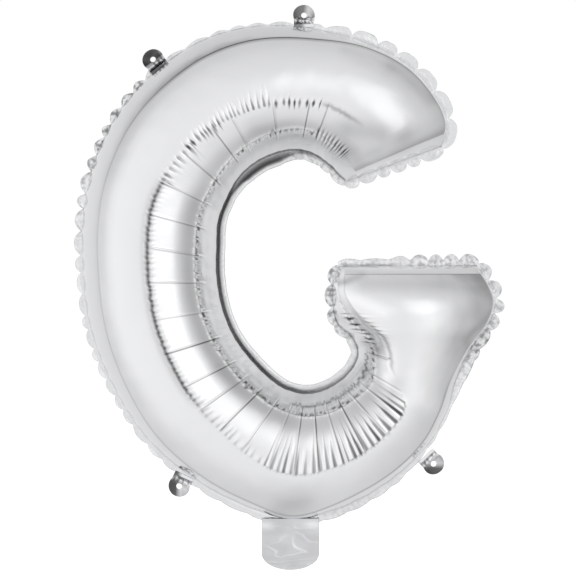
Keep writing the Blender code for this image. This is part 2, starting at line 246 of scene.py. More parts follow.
def end_closing(distance, crease, lift, span):
    """The pillow's close at an end of the stroke: steep to a crease, then gentle."""
    steep = lift * np.sqrt(np.clip(distance / crease, 0.0, 1.0))
    gentle = np.clip((distance - crease) / (span - crease), 0.0, 1.0)
    return np.where(distance < crease, steep, lift + (1.0 - lift) * (1.0 - (1.0 - gentle) ** 2))


print("slope of an ellipse at a quarter of its width", round(float(ellipse_slope(0.25)), 2))

# %% [markdown]
# The pillow is a grid, with rows along the stroke and columns across it. The columns are
# drawn together where the foil bends most, which keeps the creases sharp with few points.
# A wide stroke blows up higher than a narrow one, up to the full height of the sheet.

# %% The smooth pillow
CREST_HEIGHT = 31.0 * MM
CREST_WIDTH_POWER = 0.8
FULL_STROKE_WIDTH = 90.0 * MM
WIDTH_BLEND_POWER = 14.0
LEVEL_SLOPE_LIMITS = (-0.28, 0.30)
BAND_KINK = 0.10
BAND_END_FALL = -0.60
OUTER_COLLAR_POWER = 0.62
INNER_COLLAR_POWER = 0.86
# columns in the outer collar, the crest, the band and the inner collar
ZONE_COLUMNS = (9, 15, 31, 13)
ZONE_STEP_DRAW = {0: 0.08, 2: 0.10}
CREST_STEPS = (
    0.0, 0.012, 0.05, 0.12, 0.22, 0.34, 0.46, 0.57, 0.67, 0.755, 0.825, 0.88, 0.925, 0.96, 0.985,
)
INNER_COLLAR_STEP_POWER = 1.5
ROWS = 1320
# where the crease at an end lies, its height as a share of the crest, where the crest begins
TERMINAL_END = (5.0 * MM, 0.86, 18.0 * MM)
BAR_END = (6.0 * MM, 0.73, 38.0 * MM)


def zone_steps(zone):
    """Steps from 0 to 1 across a zone, drawn together where the foil bends most."""
    if zone == 1:
        return np.array(CREST_STEPS)
    if zone == 3:
        return (np.arange(ZONE_COLUMNS[zone] + 1) / ZONE_COLUMNS[zone]) ** INNER_COLLAR_STEP_POWER
    even = np.arange(ZONE_COLUMNS[zone]) / ZONE_COLUMNS[zone]
    return even - ZONE_STEP_DRAW[zone] * np.sin(2.0 * math.pi * even)


def pillow(distance):
    """Plan shares, zone numbers and heights of the smooth pillow, one row per distance."""
    outer, inner = weld_points(distance)
    width = np.linalg.norm(outer - inner, axis=-1)
    fullness = (1.0 + (width / FULL_STROKE_WIDTH) ** -WIDTH_BLEND_POWER) ** (-1.0 / WIDTH_BLEND_POWER)
    crest = CREST_HEIGHT * fullness ** CREST_WIDTH_POWER
    knots = crease_shares(distance)
    collar, band_start, band_end = [crest * crease_column(distance, k) for k in (4, 5, 6)]
    rise = crease_column(distance, 7)
    level = np.clip(crest / width * ellipse_slope(knots[2]), *LEVEL_SLOPE_LIMITS)
    shares, heights, zones = [], [], []
    for zone in range(len(ZONE_COLUMNS)):
        steps = zone_steps(zone)
        local = steps[None, :]
        start, end = knots[zone][:, None], knots[zone + 1][:, None]
        span = (end - start) * width[:, None]
        shares.append(start + (end - start) * local)
        zones.append(zone + steps)
        if zone == 0:
            heights.append(collar[:, None] * local ** OUTER_COLLAR_POWER)
        elif zone == 1:
            heights.append(hermite(
                local, collar[:, None], band_start[:, None],
                rise[:, None] * span, level[:, None] * span,
            ))
        elif zone == 2:
            heights.append(hermite(
                local, band_start[:, None], band_end[:, None],
                (level[:, None] - BAND_KINK) * span, BAND_END_FALL * span,
            ))
        else:
            heights.append(band_end[:, None] * (1.0 - local) ** INNER_COLLAR_POWER)
    closing = end_closing(distance, *TERMINAL_END)
    closing = closing * end_closing(STROKE_LENGTH - distance, *BAR_END)
    height = np.hstack(heights) * closing[:, None]
    return np.hstack(shares), np.concatenate(zones), height, width


print("pillow", ROWS, "rows by", sum(ZONE_COLUMNS), "columns, crest", round(CREST_HEIGHT / MM), "mm high")

# %% [markdown]
# ## Ribs, pleats and puckers
# On the smooth pillow sit the marks that make foil look like foil. A cloth simulation
# could fold them, but folds this small would take it hours, and they would never land
# where they are wanted. So each kind of mark is a layer: a small move along the surface
# normal, shade and highlight painted into the foil's colour, or both. The painted shade
# stands in for the dark of a real fold, where light hardly comes out again.
# Noise along a line, a soft stretch and a bell shape all the layers.

# %% Soft shapes along the stroke
NOISE_VALUES = 4096
NOISE_START = 64.0


def eased(share):
    return share * share * (3.0 - 2.0 * share)


def smooth_noise(places, spacing, seed):
    """Repeatable smooth noise from -1 to 1 along a line."""
    values = np.random.default_rng(seed).uniform(-1.0, 1.0, NOISE_VALUES)
    position = np.asarray(places) / spacing + NOISE_START
    index = np.floor(position).astype(int)
    share = eased(position - index)
    return values[index % NOISE_VALUES] * (1.0 - share) + values[(index + 1) % NOISE_VALUES] * share


def bump_between(value, low, high, fade):
    """1 between low and high, eased down to 0 over the fade at both ends."""
    return eased(np.clip((value - low) / fade, 0.0, 1.0)) * eased(np.clip((high - value) / fade, 0.0, 1.0))


def bell(value, centre, width):
    return np.exp(-((value - centre) / width) ** 2)


def read_table(distance, table, column=1):
    """A column of a table whose first column is the distance along the guide in mm."""
    rows = np.array(table, float)
    return np.interp(distance, guide_place(rows[:, 0]), rows[:, column])[:, None]


print("a bell falls to", round(float(bell(1.0, 0.0, 1.0)), 2), "at its half width")

# %% [markdown]
# A pleat straddles a crease and tapers to a point on both sides of it, and a gap parts
# it from the next. The gap is pressed in and darkened with painted shade, and the pleat's
# ridge gets a painted highlight. The foil is tighter in some places than in others, so
# each stretch of the stroke has its own spacing, length and depth.

# %% Pleats
PLEATS = (
    # which crease; from and to along the guide, spacing, length inwards, length outwards,
    # height of the pleats, depth of the gaps between them (mm); share of the length that
    # the gaps reach; shade painted in the gaps
    (2, 64, 97, 4.3, 6.0, 4.6, 0.30, 1.20, 0.95, 0.95),
    (2, 99, 137, 3.4, 2.5, 13.0, 0.24, 0.90, 0.80, 0.62),
    (2, 137, 160, 3.8, 8.0, 8.0, 0.45, 1.10, 0.80, 0.85),
    (2, 160, 192, 4.6, 20.0, 5.0, 0.55, 1.00, 0.60, 0.55),
    (2, 192, 262, 3.6, 9.0, 1.2, 0.30, 0.40, 0.60, 0.22),
    (2, 262, 336, 3.6, 8.0, 1.2, 0.28, 0.40, 0.60, 0.22),
    (2, 338, 392, 4.2, 10.0, 2.0, 0.30, 0.60, 0.90, 0.30),
    (2, 394, 436, 3.8, 24.0, 2.0, 0.60, 0.95, 1.15, 0.75),
    (2, 438, 481, 4.2, 25.0, 2.5, 0.75, 1.10, 1.15, 0.95),
    (2, 521, 534, 3.4, 2.0, 14.0, 0.20, 0.45, 0.60, 0.15),
    (3, 513, 536, 3.8, 8.0, 7.0, 0.90, 1.50, 0.90, 0.85),
    (3, 22, 56, 3.6, 8.0, 6.0, 0.55, 0.90, 0.90, 0.60),
)
PLEAT_GAP_SHARE = 0.50
PLEAT_SPACINGS = (0.65, 1.35)
PLEAT_SIZES = (0.55, 1.15)
PLEAT_RIDGE_POWER = 0.8
PLEAT_GAP_POWER = 0.6
PLEAT_SHADOW_POWER = 0.7
PLEAT_SHADOW_GAIN = 1.6
# how much a painted highlight lightens the foil's colour at most
HIGHLIGHT = 0.13


def pleats(distance, from_crease, row, rng):
    """Heights of pleats and gaps, tapered on both sides; painted shade in gaps, painted highlight on
    ridges.
    """
    start, end, spacing, inwards, outwards, height, depth, gap_reach, shadow = row
    edges = [guide_place(start)]
    while edges[-1] < guide_place(end):
        edges.append(edges[-1] + spacing * MM * rng.uniform(*PLEAT_SPACINGS))
    edges = np.array(edges)
    count = len(edges) - 1
    index = np.clip(np.searchsorted(edges, distance, side="right") - 1, 0, count - 1)
    middle = 0.5 * (edges[index] + edges[index + 1])
    half = 0.5 * (edges[index + 1] - edges[index])
    place = (np.abs(distance - middle) / half)[:, None]
    nearest = np.where(distance < middle, index, index + 1)

    def per_pleat(size):
        return (size * rng.uniform(*PLEAT_SIZES, count))[index][:, None]

    def per_gap(size):
        return (size * rng.uniform(*PLEAT_SIZES, count + 1))[nearest][:, None]

    def tapered(into, out):
        share = np.where(from_crease > 0.0, from_crease / into, -from_crease / out)
        return np.clip(1.0 - share, 1e-4, 1.0)

    taper = tapered(per_pleat(inwards * MM), per_pleat(outwards * MM))
    ridge = taper * np.clip(1.0 - place / taper, 0.0, 1.0) ** PLEAT_RIDGE_POWER
    reach = gap_reach * MM
    gap = tapered(per_gap(inwards * reach), per_gap(outwards * reach))
    valley_width = PLEAT_GAP_SHARE * gap ** PLEAT_GAP_POWER
    valley = np.clip(1.0 - (1.0 - place) / valley_width, 0.0, 1.0)
    lift = per_pleat(height * MM) * ridge - per_gap(depth * MM) * gap * valley
    dark = per_gap(shadow) * valley ** PLEAT_SHADOW_POWER * np.minimum(gap * PLEAT_SHADOW_GAIN, 1.0)
    dark = dark - HIGHLIGHT * ridge
    inside = ((distance >= edges[0]) & (distance <= edges[-1]))[:, None]
    return np.where(inside, lift, 0.0), np.where(inside, dark, 0.0)


print(len(PLEATS), "stretches of pleats")

# %% [markdown]
# A rib is a thin fold straight across the band, where the too long foil has doubled up.
# Between two ribs the foil domes a little, like a cushion between two buttons. Beside
# each rib a line of shade is painted into the foil's colour, with a painted highlight on
# its other side.

# %% Ribs
RIB_PLACES_MM = (
    58, 71, 97, 127, 142, 168, 191, 213, 235, 257, 281, 304, 328, 345, 362, 380, 396, 409,
    422, 435, 448, 462, 475, 487, 504,
)
RIB_RIDGE = 0.55 * MM
RIB_HALF_WIDTH = 0.65 * MM
RIB_PANEL_RISE = 0.30 * MM
RIB_LEAN = 1.0 * MM
RIB_ROUNDNESS = 1.4
RIB_HEIGHTS = (0.6, 1.2)
# strength, spread, place and width of the shade painted beside each rib, and width of the painted highlight
RIB_SHADOW = 0.70
RIB_SHADOWS = (0.3, 1.1)
RIB_SHADOW_OFFSET = 0.6 * MM
RIB_SHADOW_WIDTH = 0.5 * MM
RIB_PAINTED_HIGHLIGHT_WIDTH = 0.6 * MM
# zones across the stroke that the ribs cover, with a soft edge, and the middle of them
RIB_STRETCH = (1.90, 3.45, 0.22)
RIB_MIDDLE_ZONE = 2.5


def rib_layer(distance, zones, rng):
    """Thin radial folds across the band, the soft domes between them, and the shade and highlight painted
    beside each fold.
    """
    s, c = distance[:, None], zones[None, :]
    ribs = guide_place(RIB_PLACES_MM)
    skew = rng.uniform(-1.0, 1.0, len(ribs)) * RIB_LEAN
    height = rng.uniform(*RIB_HEIGHTS, len(ribs)) * RIB_RIDGE
    strength = rng.uniform(*RIB_SHADOWS, len(ribs)) * RIB_SHADOW
    reach = bump_between(c, *RIB_STRETCH)
    lift, dark = np.zeros((len(distance), len(zones))), np.zeros((len(distance), len(zones)))
    for place, lean, rise, shade in zip(ribs, skew, height, strength):
        offset = s - place - lean * (c - RIB_MIDDLE_ZONE)
        lift += rise * np.exp(-np.abs(offset / RIB_HALF_WIDTH) ** RIB_ROUNDNESS) * reach
        dark += shade * bell(offset, RIB_SHADOW_OFFSET, RIB_SHADOW_WIDTH) * reach
        dark -= HIGHLIGHT * bell(offset, -RIB_SHADOW_OFFSET, RIB_PAINTED_HIGHLIGHT_WIDTH) * reach
    for start, end in zip(ribs, ribs[1:]):
        place = (s - start) / (end - start)
        inside = (place > 0.0) & (place < 1.0)
        lift += RIB_PANEL_RISE * np.where(inside, 4.0 * place * (1.0 - place), 0.0) * reach
    return lift, dark


print(len(RIB_PLACES_MM), "ribs")

# %% [markdown]
# Along the band's first crease the crest ends in a sharp lip. Below it runs a groove,
# pressed in and darkened with painted shade, whose dark edge wanders in small scallops.

# %% The lip of the band
GROOVES = (
    # distance along the guide, depth of the groove along the band's first crease (mm)
    (30, 0.0), (45, 0.45), (60, 0.45), (64, 0.1), (188, 0.1), (196, 0.8), (330, 0.8),
    (345, 0.3), (360, 0.1), (494, 0.0), (500, 0.4), (525, 0.5), (540, 0.0),
)
GROOVE_HALF_WIDTH = 1.7 * MM
# strength of the shade painted along the groove
GROOVE_SHADOW = 0.90
GROOVE_WANDER = 0.45 * MM
GROOVE_SCALLOP = 1.9 * MM


def groove_layer(distance, from_crease, seed):
    """The sharp lip along the band's first crease, with the scalloped shade painted along it."""
    depth = read_table(distance, GROOVES)
    wander = GROOVE_WANDER * smooth_noise(distance[:, None], GROOVE_SCALLOP, seed)
    profile = bell(from_crease, -wander, GROOVE_HALF_WIDTH)
    return -depth * MM * profile, GROOVE_SHADOW * depth * profile ** 1.3


print("groove up to", max(row[1] for row in GROOVES), "mm deep")

# %% [markdown]
# Where the foil is pulled tight it forms broad facets, and each catches another part of
# the room. Here each facet is mostly painted: a soft stroke of shade or highlight in the
# foil's colour, most darker than their surroundings and a few lighter, pressed in or
# lifted by only a fraction of a millimetre.

# %% Broad facets
FACETS_WITH_PAINTED_SHADE = (
    # broad facets where the foil is pulled tight: start and end in the plan (x, z, x, z),
    # half width (mm), painted shade, below 0 a painted highlight
    (31, -82, 69, -87, 9, 0.32), (28, -97, 70, -101, 8, 0.24),
    (60, -38, 88, -60, 5.5, 0.16), (-33, -82, 19, -81, 8, 0.13),
    (42, -188, 101, -188, 6, 0.15), (25, -187, 40, -181, 2.5, 0.32),
    (23, -192, 56, -207, 4, -0.16), (26, -212, 45, -217, 3.5, 0.12),
    (125, -198, 107, -213, 4.5, 0.09), (105, -217, 99, -235, 3.5, 0.05),
    (128, -193, 130, -204, 2, -0.14), (119, -216, 111, -230, 4, -0.14),
    (57, -235, 59, -259, 5, -0.12), (91, -216, 86, -268, 9, -0.18),
    (43, -228, 49, -233, 4, 0.28), (47, -239, 42, -251, 3.5, 0.2),
    (55, -261, 33, -288, 8, 0.09), (-57, -248, -11, -281, 7, 0.10),
    (-3, -267, 28, -258, 4, 0.12), (62, -257, 56, -275, 5, 0.16),
    (28, -27, 60, -40, 4, 0.09), (27, -177, 38, -177, 3, 0.12),
)
FACET_DEPTH = 0.8 * MM


def facet_layer(plan):
    """Broad facets of tight foil: soft strokes of painted shade or highlight, pressed in where darker."""
    dark = np.zeros(plan.shape[:2])
    for x0, z0, x1, z1, half, shade in FACETS_WITH_PAINTED_SHADE:
        start = np.array((x0, z0)) * MM
        along = np.array((x1, z1)) * MM - start
        share = np.clip((plan - start) @ along / (along @ along), 0.0, 1.0)
        off = np.linalg.norm(plan - start - share[..., None] * along, axis=-1)
        dark += shade * bell(off, 0.0, half * MM)
    return -FACET_DEPTH * dark, dark


print(len(FACETS_WITH_PAINTED_SHADE), "facets, up to", round(FACET_DEPTH * max(row[-1] for row in FACETS_WITH_PAINTED_SHADE) / MM, 2), "mm deep")

# %% [markdown]
# Soft shade is painted into the foil's colour beside the creases and on the band towards
# its second crease, and the inner side of the curved tube gets painted shade on one flank
# and a painted highlight on the other. Painted highlights also lighten the inner collar
# and the outer part of the band. These tones change slowly, so a few numbers along the
# stroke are enough for them.

# %% Painted shade and highlights beside the creases
OUTER_CREASES = (
    # distance along the guide; painted dark line on the outer crease; painted soft shade
    # inside it, its centre and its half width (mm)
    (0, 0.10, 0.08, 3, 5), (58, 0.30, 0.04, 3, 5), (75, 0.55, 0.04, 3, 5),
    (140, 0.55, 0.05, 3, 5), (162, 0.15, 0.12, 3, 5), (190, 0.0, 0.16, 3, 5),
    (250, 0.0, 0.12, 3, 5), (330, 0.05, 0.0, 3, 5), (450, 0.25, 0.0, 3, 5),
    (495, 0.25, 0.04, 3, 6), (510, 0.0, 0.07, 9, 9), (540, 0.0, 0.12, 10, 9),
    (556, 0.0, 0.06, 9, 8), (570, 0.0, 0.0, 9, 8),
)
BAND_FALLS = (
    # distance along the guide, painted shade of the band towards its second crease
    (60, 0.10), (112, 0.20), (145, 0.20), (175, 0.14), (195, 0.32), (330, 0.34), (372, 0.26),
    (395, 0.26), (470, 0.26), (486, 0.18), (500, 0.14), (520, 0.22), (535, 0.05), (570, 0.0),
)
LIP_SHADES = (
    # distance along the guide, painted shade of the crest beside the band's first crease
    (185, 0.0), (200, 0.20), (325, 0.20), (345, 0.0),
)
# centre and half width of a painted shade, measured from its crease
DARK_LINE = (0.2 * MM, 0.6 * MM)
LIP_SHADE_PLACE = (-2.2 * MM, 2.4 * MM)
# zones across the stroke between which a painted tone lies, and the width of its soft edge
BAND_FALL_ZONES = (2.46, 3.2, 0.38)
PAINTED_HIGHLIGHT_ZONES = ((3.1, 4.0, 0.3), (2.06, 2.62, 0.12))
# painted highlight on the inner collar and the band's outer part: strength, stretch and fade
FACE_PAINTED_HIGHLIGHT = 0.10
PAINTED_HIGHLIGHT_REACH_MM = (185, 350)
PAINTED_HIGHLIGHT_FADE = 12.0 * MM
TUBE_REACH_MM = (25, 185)
TUBE_FADE = 15.0 * MM
# painted shade, below 0 a painted highlight; its centre from the band's second crease
# and its half width (mm)
TUBE_SHADES = ((0.15, 4.6, 2.2), (-0.12, 1.6, 1.2))


def soft_layer(distance, zones, from_outer, from_band, from_line):
    """Shade and highlights painted softly beside the creases, on the band and on the inner collar."""
    c = zones[None, :]
    line, soft, centre, half = [read_table(distance, OUTER_CREASES, k) for k in (1, 2, 3, 4)]
    dark = line * bell(from_outer, *DARK_LINE) + soft * bell(from_outer, centre * MM, half * MM)
    dark = dark + read_table(distance, LIP_SHADES) * bell(from_band, *LIP_SHADE_PLACE)
    dark = dark + read_table(distance, BAND_FALLS) * bump_between(c, *BAND_FALL_ZONES)
    painted_highlight = FACE_PAINTED_HIGHLIGHT * bump_between(distance, *guide_place(PAINTED_HIGHLIGHT_REACH_MM), PAINTED_HIGHLIGHT_FADE)[:, None]
    for stretch in PAINTED_HIGHLIGHT_ZONES:
        dark = dark - painted_highlight * bump_between(c, *stretch)
    tube = bump_between(distance, *guide_place(TUBE_REACH_MM), TUBE_FADE)[:, None]
    for shade, place, half_width in TUBE_SHADES:
        dark = dark + shade * tube * bell(from_line, place * MM, half_width * MM)
    return 0.0, dark


print(len(OUTER_CREASES) + len(BAND_FALLS) + len(LIP_SHADES), "places with a soft shadow")

# %% [markdown]
# The band's second crease is too long for its place, so it crumples into a line of tiny
# facets, lifted a little and made bright and dark with painted highlights and shade. Under
# the letter a second, jagged line of painted shade runs beside it.

# %% The crumpled line
LINE_RIDGE = 0.35 * MM
CRUMPLE_HEIGHT = 0.70 * MM
CRUMPLE_SPACING = 3.2 * MM
CRUMPLE_HALF_WIDTH = 1.3 * MM
# strength of the shade painted in the crumples' folds
CRUMPLE_SHADOW = 0.90
CRUMPLE_REACH_MM = (45, 550)
CRUMPLE_FADE_MM = 12
CRUMPLE_WANDER = 0.5 * MM
CRUMPLE_WANDER_SPACING = 2.0 * MM
# strength of the crumples: its mean, its change and the spacing of that change
CRUMPLE_MEAN, CRUMPLE_CHANGE, CRUMPLE_CHANGE_SPACING = 0.75, 0.5, 11.0 * MM
# centre and half width of the ridge, of the shade painted in the folds and of the
# highlights painted on the edges of the line
LINE_RIDGE_PLACE = (-0.4 * MM, 0.9 * MM)
FOLD_OFFSET, FOLD_HALF_WIDTH, FOLD_SHARPNESS = 0.7 * MM, 1.0 * MM, 1.6
EDGE_HALF_WIDTH, EDGE_SHARPNESS = 1.6 * MM, 3.0
# the jagged line is painted shade only: its stretch, fade, zone, swing, width, spacing and strength
JAG_REACH_MM = (392, 508)
JAG_FADE_MM = 8
JAG_ZONE = 3.42
JAG_SWING = 0.07
JAG_HALF_WIDTH = 0.055
JAG_SPACING = 1.5 * MM
JAG_SHADOW = 0.62


def crumple_layer(distance, zones, from_line, seed):
    """Crumples along the band's second crease with painted shade and highlights, and the jagged painted
    shade.
    """
    s, c = distance[:, None], zones[None, :]
    wave = smooth_noise(s, 0.5 * CRUMPLE_SPACING, seed) + 0.5 * smooth_noise(s, CRUMPLE_SPACING, seed + 1)
    along = bump_between(s, *guide_place(CRUMPLE_REACH_MM), guide_place(CRUMPLE_FADE_MM))
    strength = CRUMPLE_MEAN + CRUMPLE_CHANGE * smooth_noise(s, CRUMPLE_CHANGE_SPACING, seed + 2)
    wander = CRUMPLE_WANDER * smooth_noise(s, CRUMPLE_WANDER_SPACING, seed + 5)
    lift = CRUMPLE_HEIGHT * strength * wave * bell(from_line, wander, CRUMPLE_HALF_WIDTH)
    lift += LINE_RIDGE * bell(from_line, *LINE_RIDGE_PLACE)
    folds = strength * np.clip(FOLD_SHARPNESS * wave, 0.0, 1.0)
    folds = folds * bell(from_line, FOLD_OFFSET + wander, FOLD_HALF_WIDTH)
    edges = np.clip(-EDGE_SHARPNESS * wave, 0.0, 1.0) * bell(from_line, 0.0, EDGE_HALF_WIDTH)
    jag = JAG_ZONE + JAG_SWING * smooth_noise(s, JAG_SPACING, seed + 3)
    jag_along = bump_between(s, *guide_place(JAG_REACH_MM), guide_place(JAG_FADE_MM))
    dark = (CRUMPLE_SHADOW * folds - HIGHLIGHT * edges) * along
    return lift * along, dark + JAG_SHADOW * bell(c, jag, JAG_HALF_WIDTH) * jag_along


print("crumples every", CRUMPLE_SPACING / MM, "mm along the second crease")

# %% [markdown]
# At the welds the film puckers, because the pillow pulls the weld shorter, and the whole
# sheet swells a little unevenly. With those two, all layers are added up.

# %% All layers together
PUCKER_HEIGHT = 0.30 * MM
PUCKER_SPACING = 12.5 * MM
PUCKER_END_ZONE = 0.75
INNER_PUCKER_START_ZONE = 3.35
INNER_PUCKER_ZONES = 0.6
OUTER_PUCKER_DRIFT, INNER_PUCKER_DRIFT = 30.0 * MM, 20.0 * MM
SWELL_HEIGHT = 0.30 * MM
SWELLS = (
    # share of the height, spacing along the stroke, added to the seed; middle zone across
    # the stroke and half width in zones
    (1.0, 34.0 * MM, 7, 1.3, 0.8),
    (0.7, 21.0 * MM, 8, 2.5, 0.6),
)
# the darkest that painted shade makes the foil's colour
DARKEST_PAINTED_SHADE = 0.9


def pucker_layer(distance, zones, seed):
    """Puckers at both welds, and the slow swell of the sheet. They have no shadow."""
    s, c = distance[:, None], zones[None, :]
    phase = s / PUCKER_SPACING + 0.5 * smooth_noise(s, OUTER_PUCKER_DRIFT, seed + 5)
    outer = np.abs(np.sin(math.pi * phase)) ** 0.7 * np.clip(1.0 - c / PUCKER_END_ZONE, 0.0, 1.0) ** 1.5
    phase = s / (0.5 * PUCKER_SPACING) + 0.6 * smooth_noise(s, INNER_PUCKER_DRIFT, seed + 6)
    into_inner = np.clip((c - INNER_PUCKER_START_ZONE) / INNER_PUCKER_ZONES, 0.0, 1.0)
    inner = np.sin(math.pi * phase) * into_inner
    swell = 0.0
    for share, spacing, added, middle, half in SWELLS:
        swell = swell + share * smooth_noise(s, spacing, seed + added) * bell(c, middle, half)
    return PUCKER_HEIGHT * (outer + 0.5 * inner) + SWELL_HEIGHT * swell, 0.0


def wrinkles(distance, shares, zones, width, plan, seed):
    """Heights of all wrinkle layers over the pillow, and the shade and highlights painted for them."""
    rng = np.random.default_rng(seed)
    knots = crease_shares(distance)
    from_crease = {k: (shares - knots[k][:, None]) * width[:, None] for k in (1, 2, 3)}
    layers = [
        rib_layer(distance, zones, rng),
        groove_layer(distance, from_crease[2], seed + 9),
        crumple_layer(distance, zones, from_crease[3], seed + 3),
        soft_layer(distance, zones, from_crease[1], from_crease[2], from_crease[3]),
        facet_layer(plan),
        pucker_layer(distance, zones, seed),
    ]
    for crease, *row in PLEATS:
        layers.append(pleats(distance, from_crease[crease], row, rng))
    lift, dark = [sum(layer[k] for layer in layers) for k in (0, 1)]
    return lift, np.clip(dark, -HIGHLIGHT, DARKEST_PAINTED_SHADE)


print("wrinkle layers ready")

# %% [markdown]
# ## From heights to a sheet of foil
# The outer face of a sheet is a grid of points: the pillow in the weld's plane, lifted by
# its height, and moved along its normal by the wrinkles. Both fade out at the rim, so that
# every sheet meets its weld in one clean line.

# %% Points of a sheet
WELD_HALF_GAP = 0.1 * MM
END_FADE = 12.0 * MM
ROW_DRAW = 0.010


def surface_normals(points):
    normal = np.cross(np.gradient(points, axis=1), np.gradient(points, axis=0))
    return normal / np.maximum(np.linalg.norm(normal, axis=-1, keepdims=True), 1e-12)


def sheet_points(seed):
    """Outer face of the front sheet as a grid of points, its smooth form, normals and painted shade."""
    place = np.linspace(0.0, 1.0, ROWS + 1)
    distance = (place - ROW_DRAW * np.sin(2.0 * math.pi * place)) * STROKE_LENGTH
    shares, zones, height, width = pillow(distance)
    outer, inner = weld_points(distance)
    plan = outer[:, None, :] * (1.0 - shares[..., None]) + inner[:, None, :] * shares[..., None]
    smooth = np.stack([plan[..., 0], -height - WELD_HALF_GAP, plan[..., 1]], -1)
    normal = surface_normals(smooth)
    if normal[ROWS // 2, len(zones) // 2, 1] > 0.0:
        normal = -normal
    relief, dark = wrinkles(distance, shares, zones, width, plan, seed)
    from_end = np.minimum(distance, STROKE_LENGTH - distance)
    inside = np.clip(from_end / END_FADE, 0.0, 1.0)[:, None] * np.ones_like(zones)
    inside[:, (0, -1)] = 0.0
    return smooth + normal * (relief * inside)[..., None], smooth, normal, dark * inside


print("rows of a sheet are", round(STROKE_LENGTH / ROWS / MM, 2), "mm apart")

# %% [markdown]
# Points become a mesh through a table of faces. The shade and highlight painted for each
# point go along as an attribute of the mesh, where the foil's material paints them into
# its colour.

# %% From points to a mesh
def grid_faces(numbers, reverse):
    a, b = numbers[:-1, :-1].ravel(), numbers[:-1, 1:].ravel()
    c, d = numbers[1:, 1:].ravel(), numbers[1:, :-1].ravel()
    faces = np.stack([a, b, c, d], -1)
    return (faces[:, ::-1] if reverse else faces).tolist()


def mesh_object(name, points, faces, shadow=None):
    """A smooth mesh. The painted shade and highlight of each of its first points go into an attribute."""
    mesh = bpy.data.meshes.new(name)
    mesh.from_pydata(points.tolist(), [], faces)
    mesh.update()
    mesh.shade_smooth()
    if shadow is not None:
        values = np.zeros(len(points), np.float32)
        values[:shadow.size] = shadow.ravel()
        mesh.attributes.new("painted_shade_and_highlight", "FLOAT", "POINT").data.foreach_set("value", values)
    made = bpy.data.objects.new(name, mesh)
    bpy.context.scene.collection.objects.link(made)
    return made


print("mesh helpers ready")

# %% [markdown]
# The sheet is closed by a plain inner face that nobody sees, with every fourth row and
# column of the outer one, and by a rim along the welds. The back sheet is made in the same
# way and mirrored, with other random folds.

# %% Build the two sheets
INNER_FACE_DEPTH = 1.6 * MM
ROW_SKIP = 4
COLUMN_SKIP = 4
FRONT_SEED, BACK_SEED = 11, 47


def level_step(start, end):
    """Directions of length 1 from start to end, kept in the weld's plane."""
    step = (end - start) * (1.0, 0.0, 1.0)
    return step / np.maximum(np.linalg.norm(step, axis=-1, keepdims=True), 1e-9)


def hidden_face(smooth, normal):
    """The plain inner face: a few of the outer one's points, moved in from it."""
    coarse = smooth[::ROW_SKIP, ::COLUMN_SKIP]
    hidden = coarse - normal[::ROW_SKIP, ::COLUMN_SKIP] * INNER_FACE_DEPTH
    middle = smooth[::ROW_SKIP, smooth.shape[1] // 2]
    for column in (0, -1):
        hidden[:, column] = coarse[:, column] + level_step(coarse[:, column], middle) * INNER_FACE_DEPTH
    hidden[..., 1] = np.minimum(hidden[..., 1], -WELD_HALF_GAP)
    for row, beside in ((0, 1), (-1, -2)):
        hidden[row] = coarse[row] + level_step(hidden[row], hidden[beside]) * INNER_FACE_DEPTH
        hidden[row, :, 1] = -WELD_HALF_GAP
    return hidden


def rim_numbers(numbers):
    return np.concatenate([numbers[0, :], numbers[1:, -1], numbers[-1, -2::-1], numbers[-2:0:-1, 0]])


def rim_faces(numbers, hidden_numbers, side):
    """Polygons that join the fine outer rim to the coarse hidden one."""
    fine, coarse = rim_numbers(numbers).tolist(), rim_numbers(hidden_numbers).tolist()
    rows, columns = hidden_numbers.shape
    faces, place = [], 0
    for index, skip in enumerate(([COLUMN_SKIP] * (columns - 1) + [ROW_SKIP] * (rows - 1)) * 2):
        run = [fine[(place + step) % len(fine)] for step in range(skip + 1)]
        face = run + [coarse[(index + 1) % len(coarse)], coarse[index]]
        faces.append(face[::-1] if side > 0 else face)
        place += skip
    return faces


def build_sheet(name, seed, side):
    """One foil sheet. side is 1 in front and -1 behind."""
    face, smooth, normal, dark = sheet_points(seed)
    hidden = hidden_face(smooth, normal)
    numbers = np.arange(dark.size).reshape(dark.shape)
    hidden_numbers = dark.size + np.arange(hidden[..., 0].size).reshape(hidden.shape[:2])
    faces = grid_faces(numbers, side < 0) + grid_faces(hidden_numbers, side > 0)
    faces += rim_faces(numbers, hidden_numbers, side)
    points = np.vstack([face.reshape(-1, 3), hidden.reshape(-1, 3)])
    points[:, 1] *= side
    return mesh_object(name, points, faces, dark)


front_sheet = build_sheet("front_sheet", FRONT_SEED, 1)
back_sheet = build_sheet("back_sheet", BACK_SEED, -1)
for piece in (front_sheet, back_sheet):
    print(piece.name, len(piece.data.polygons), "faces")

# %% [markdown]
# ## Short words for nodes
# Foil, margin and studio are all drawn with nodes. In a script a node takes three lines
# to add, set and link, so a few helpers say it in one.

# %% Helpers for nodes
def tree_node(tree, kind, inputs=None, **settings):
    """Adds a node. Inputs are numbered or named, and are sockets to link or plain values."""
    made = tree.nodes.new(kind)
    for label, value in settings.items():
        setattr(made, label, value)
    for label, value in (inputs or {}).items():
        if isinstance(value, bpy.types.NodeSocket):
            tree.links.new(value, made.inputs[label])
        else:
            made.inputs[label].default_value = value
    return made


def calc(tree, operation, first, second=0.0, third=None):
    inputs = {0: first, 1: second}
    if third is not None:
        inputs[2] = third
    return tree_node(tree, "ShaderNodeMath", inputs, operation=operation).outputs[0]


def vector_calc(tree, operation, first, second):
    label = "Scale" if operation == "SCALE" else 1
    inputs = {0: first, label: second}
    return tree_node(tree, "ShaderNodeVectorMath", inputs, operation=operation).outputs[0]


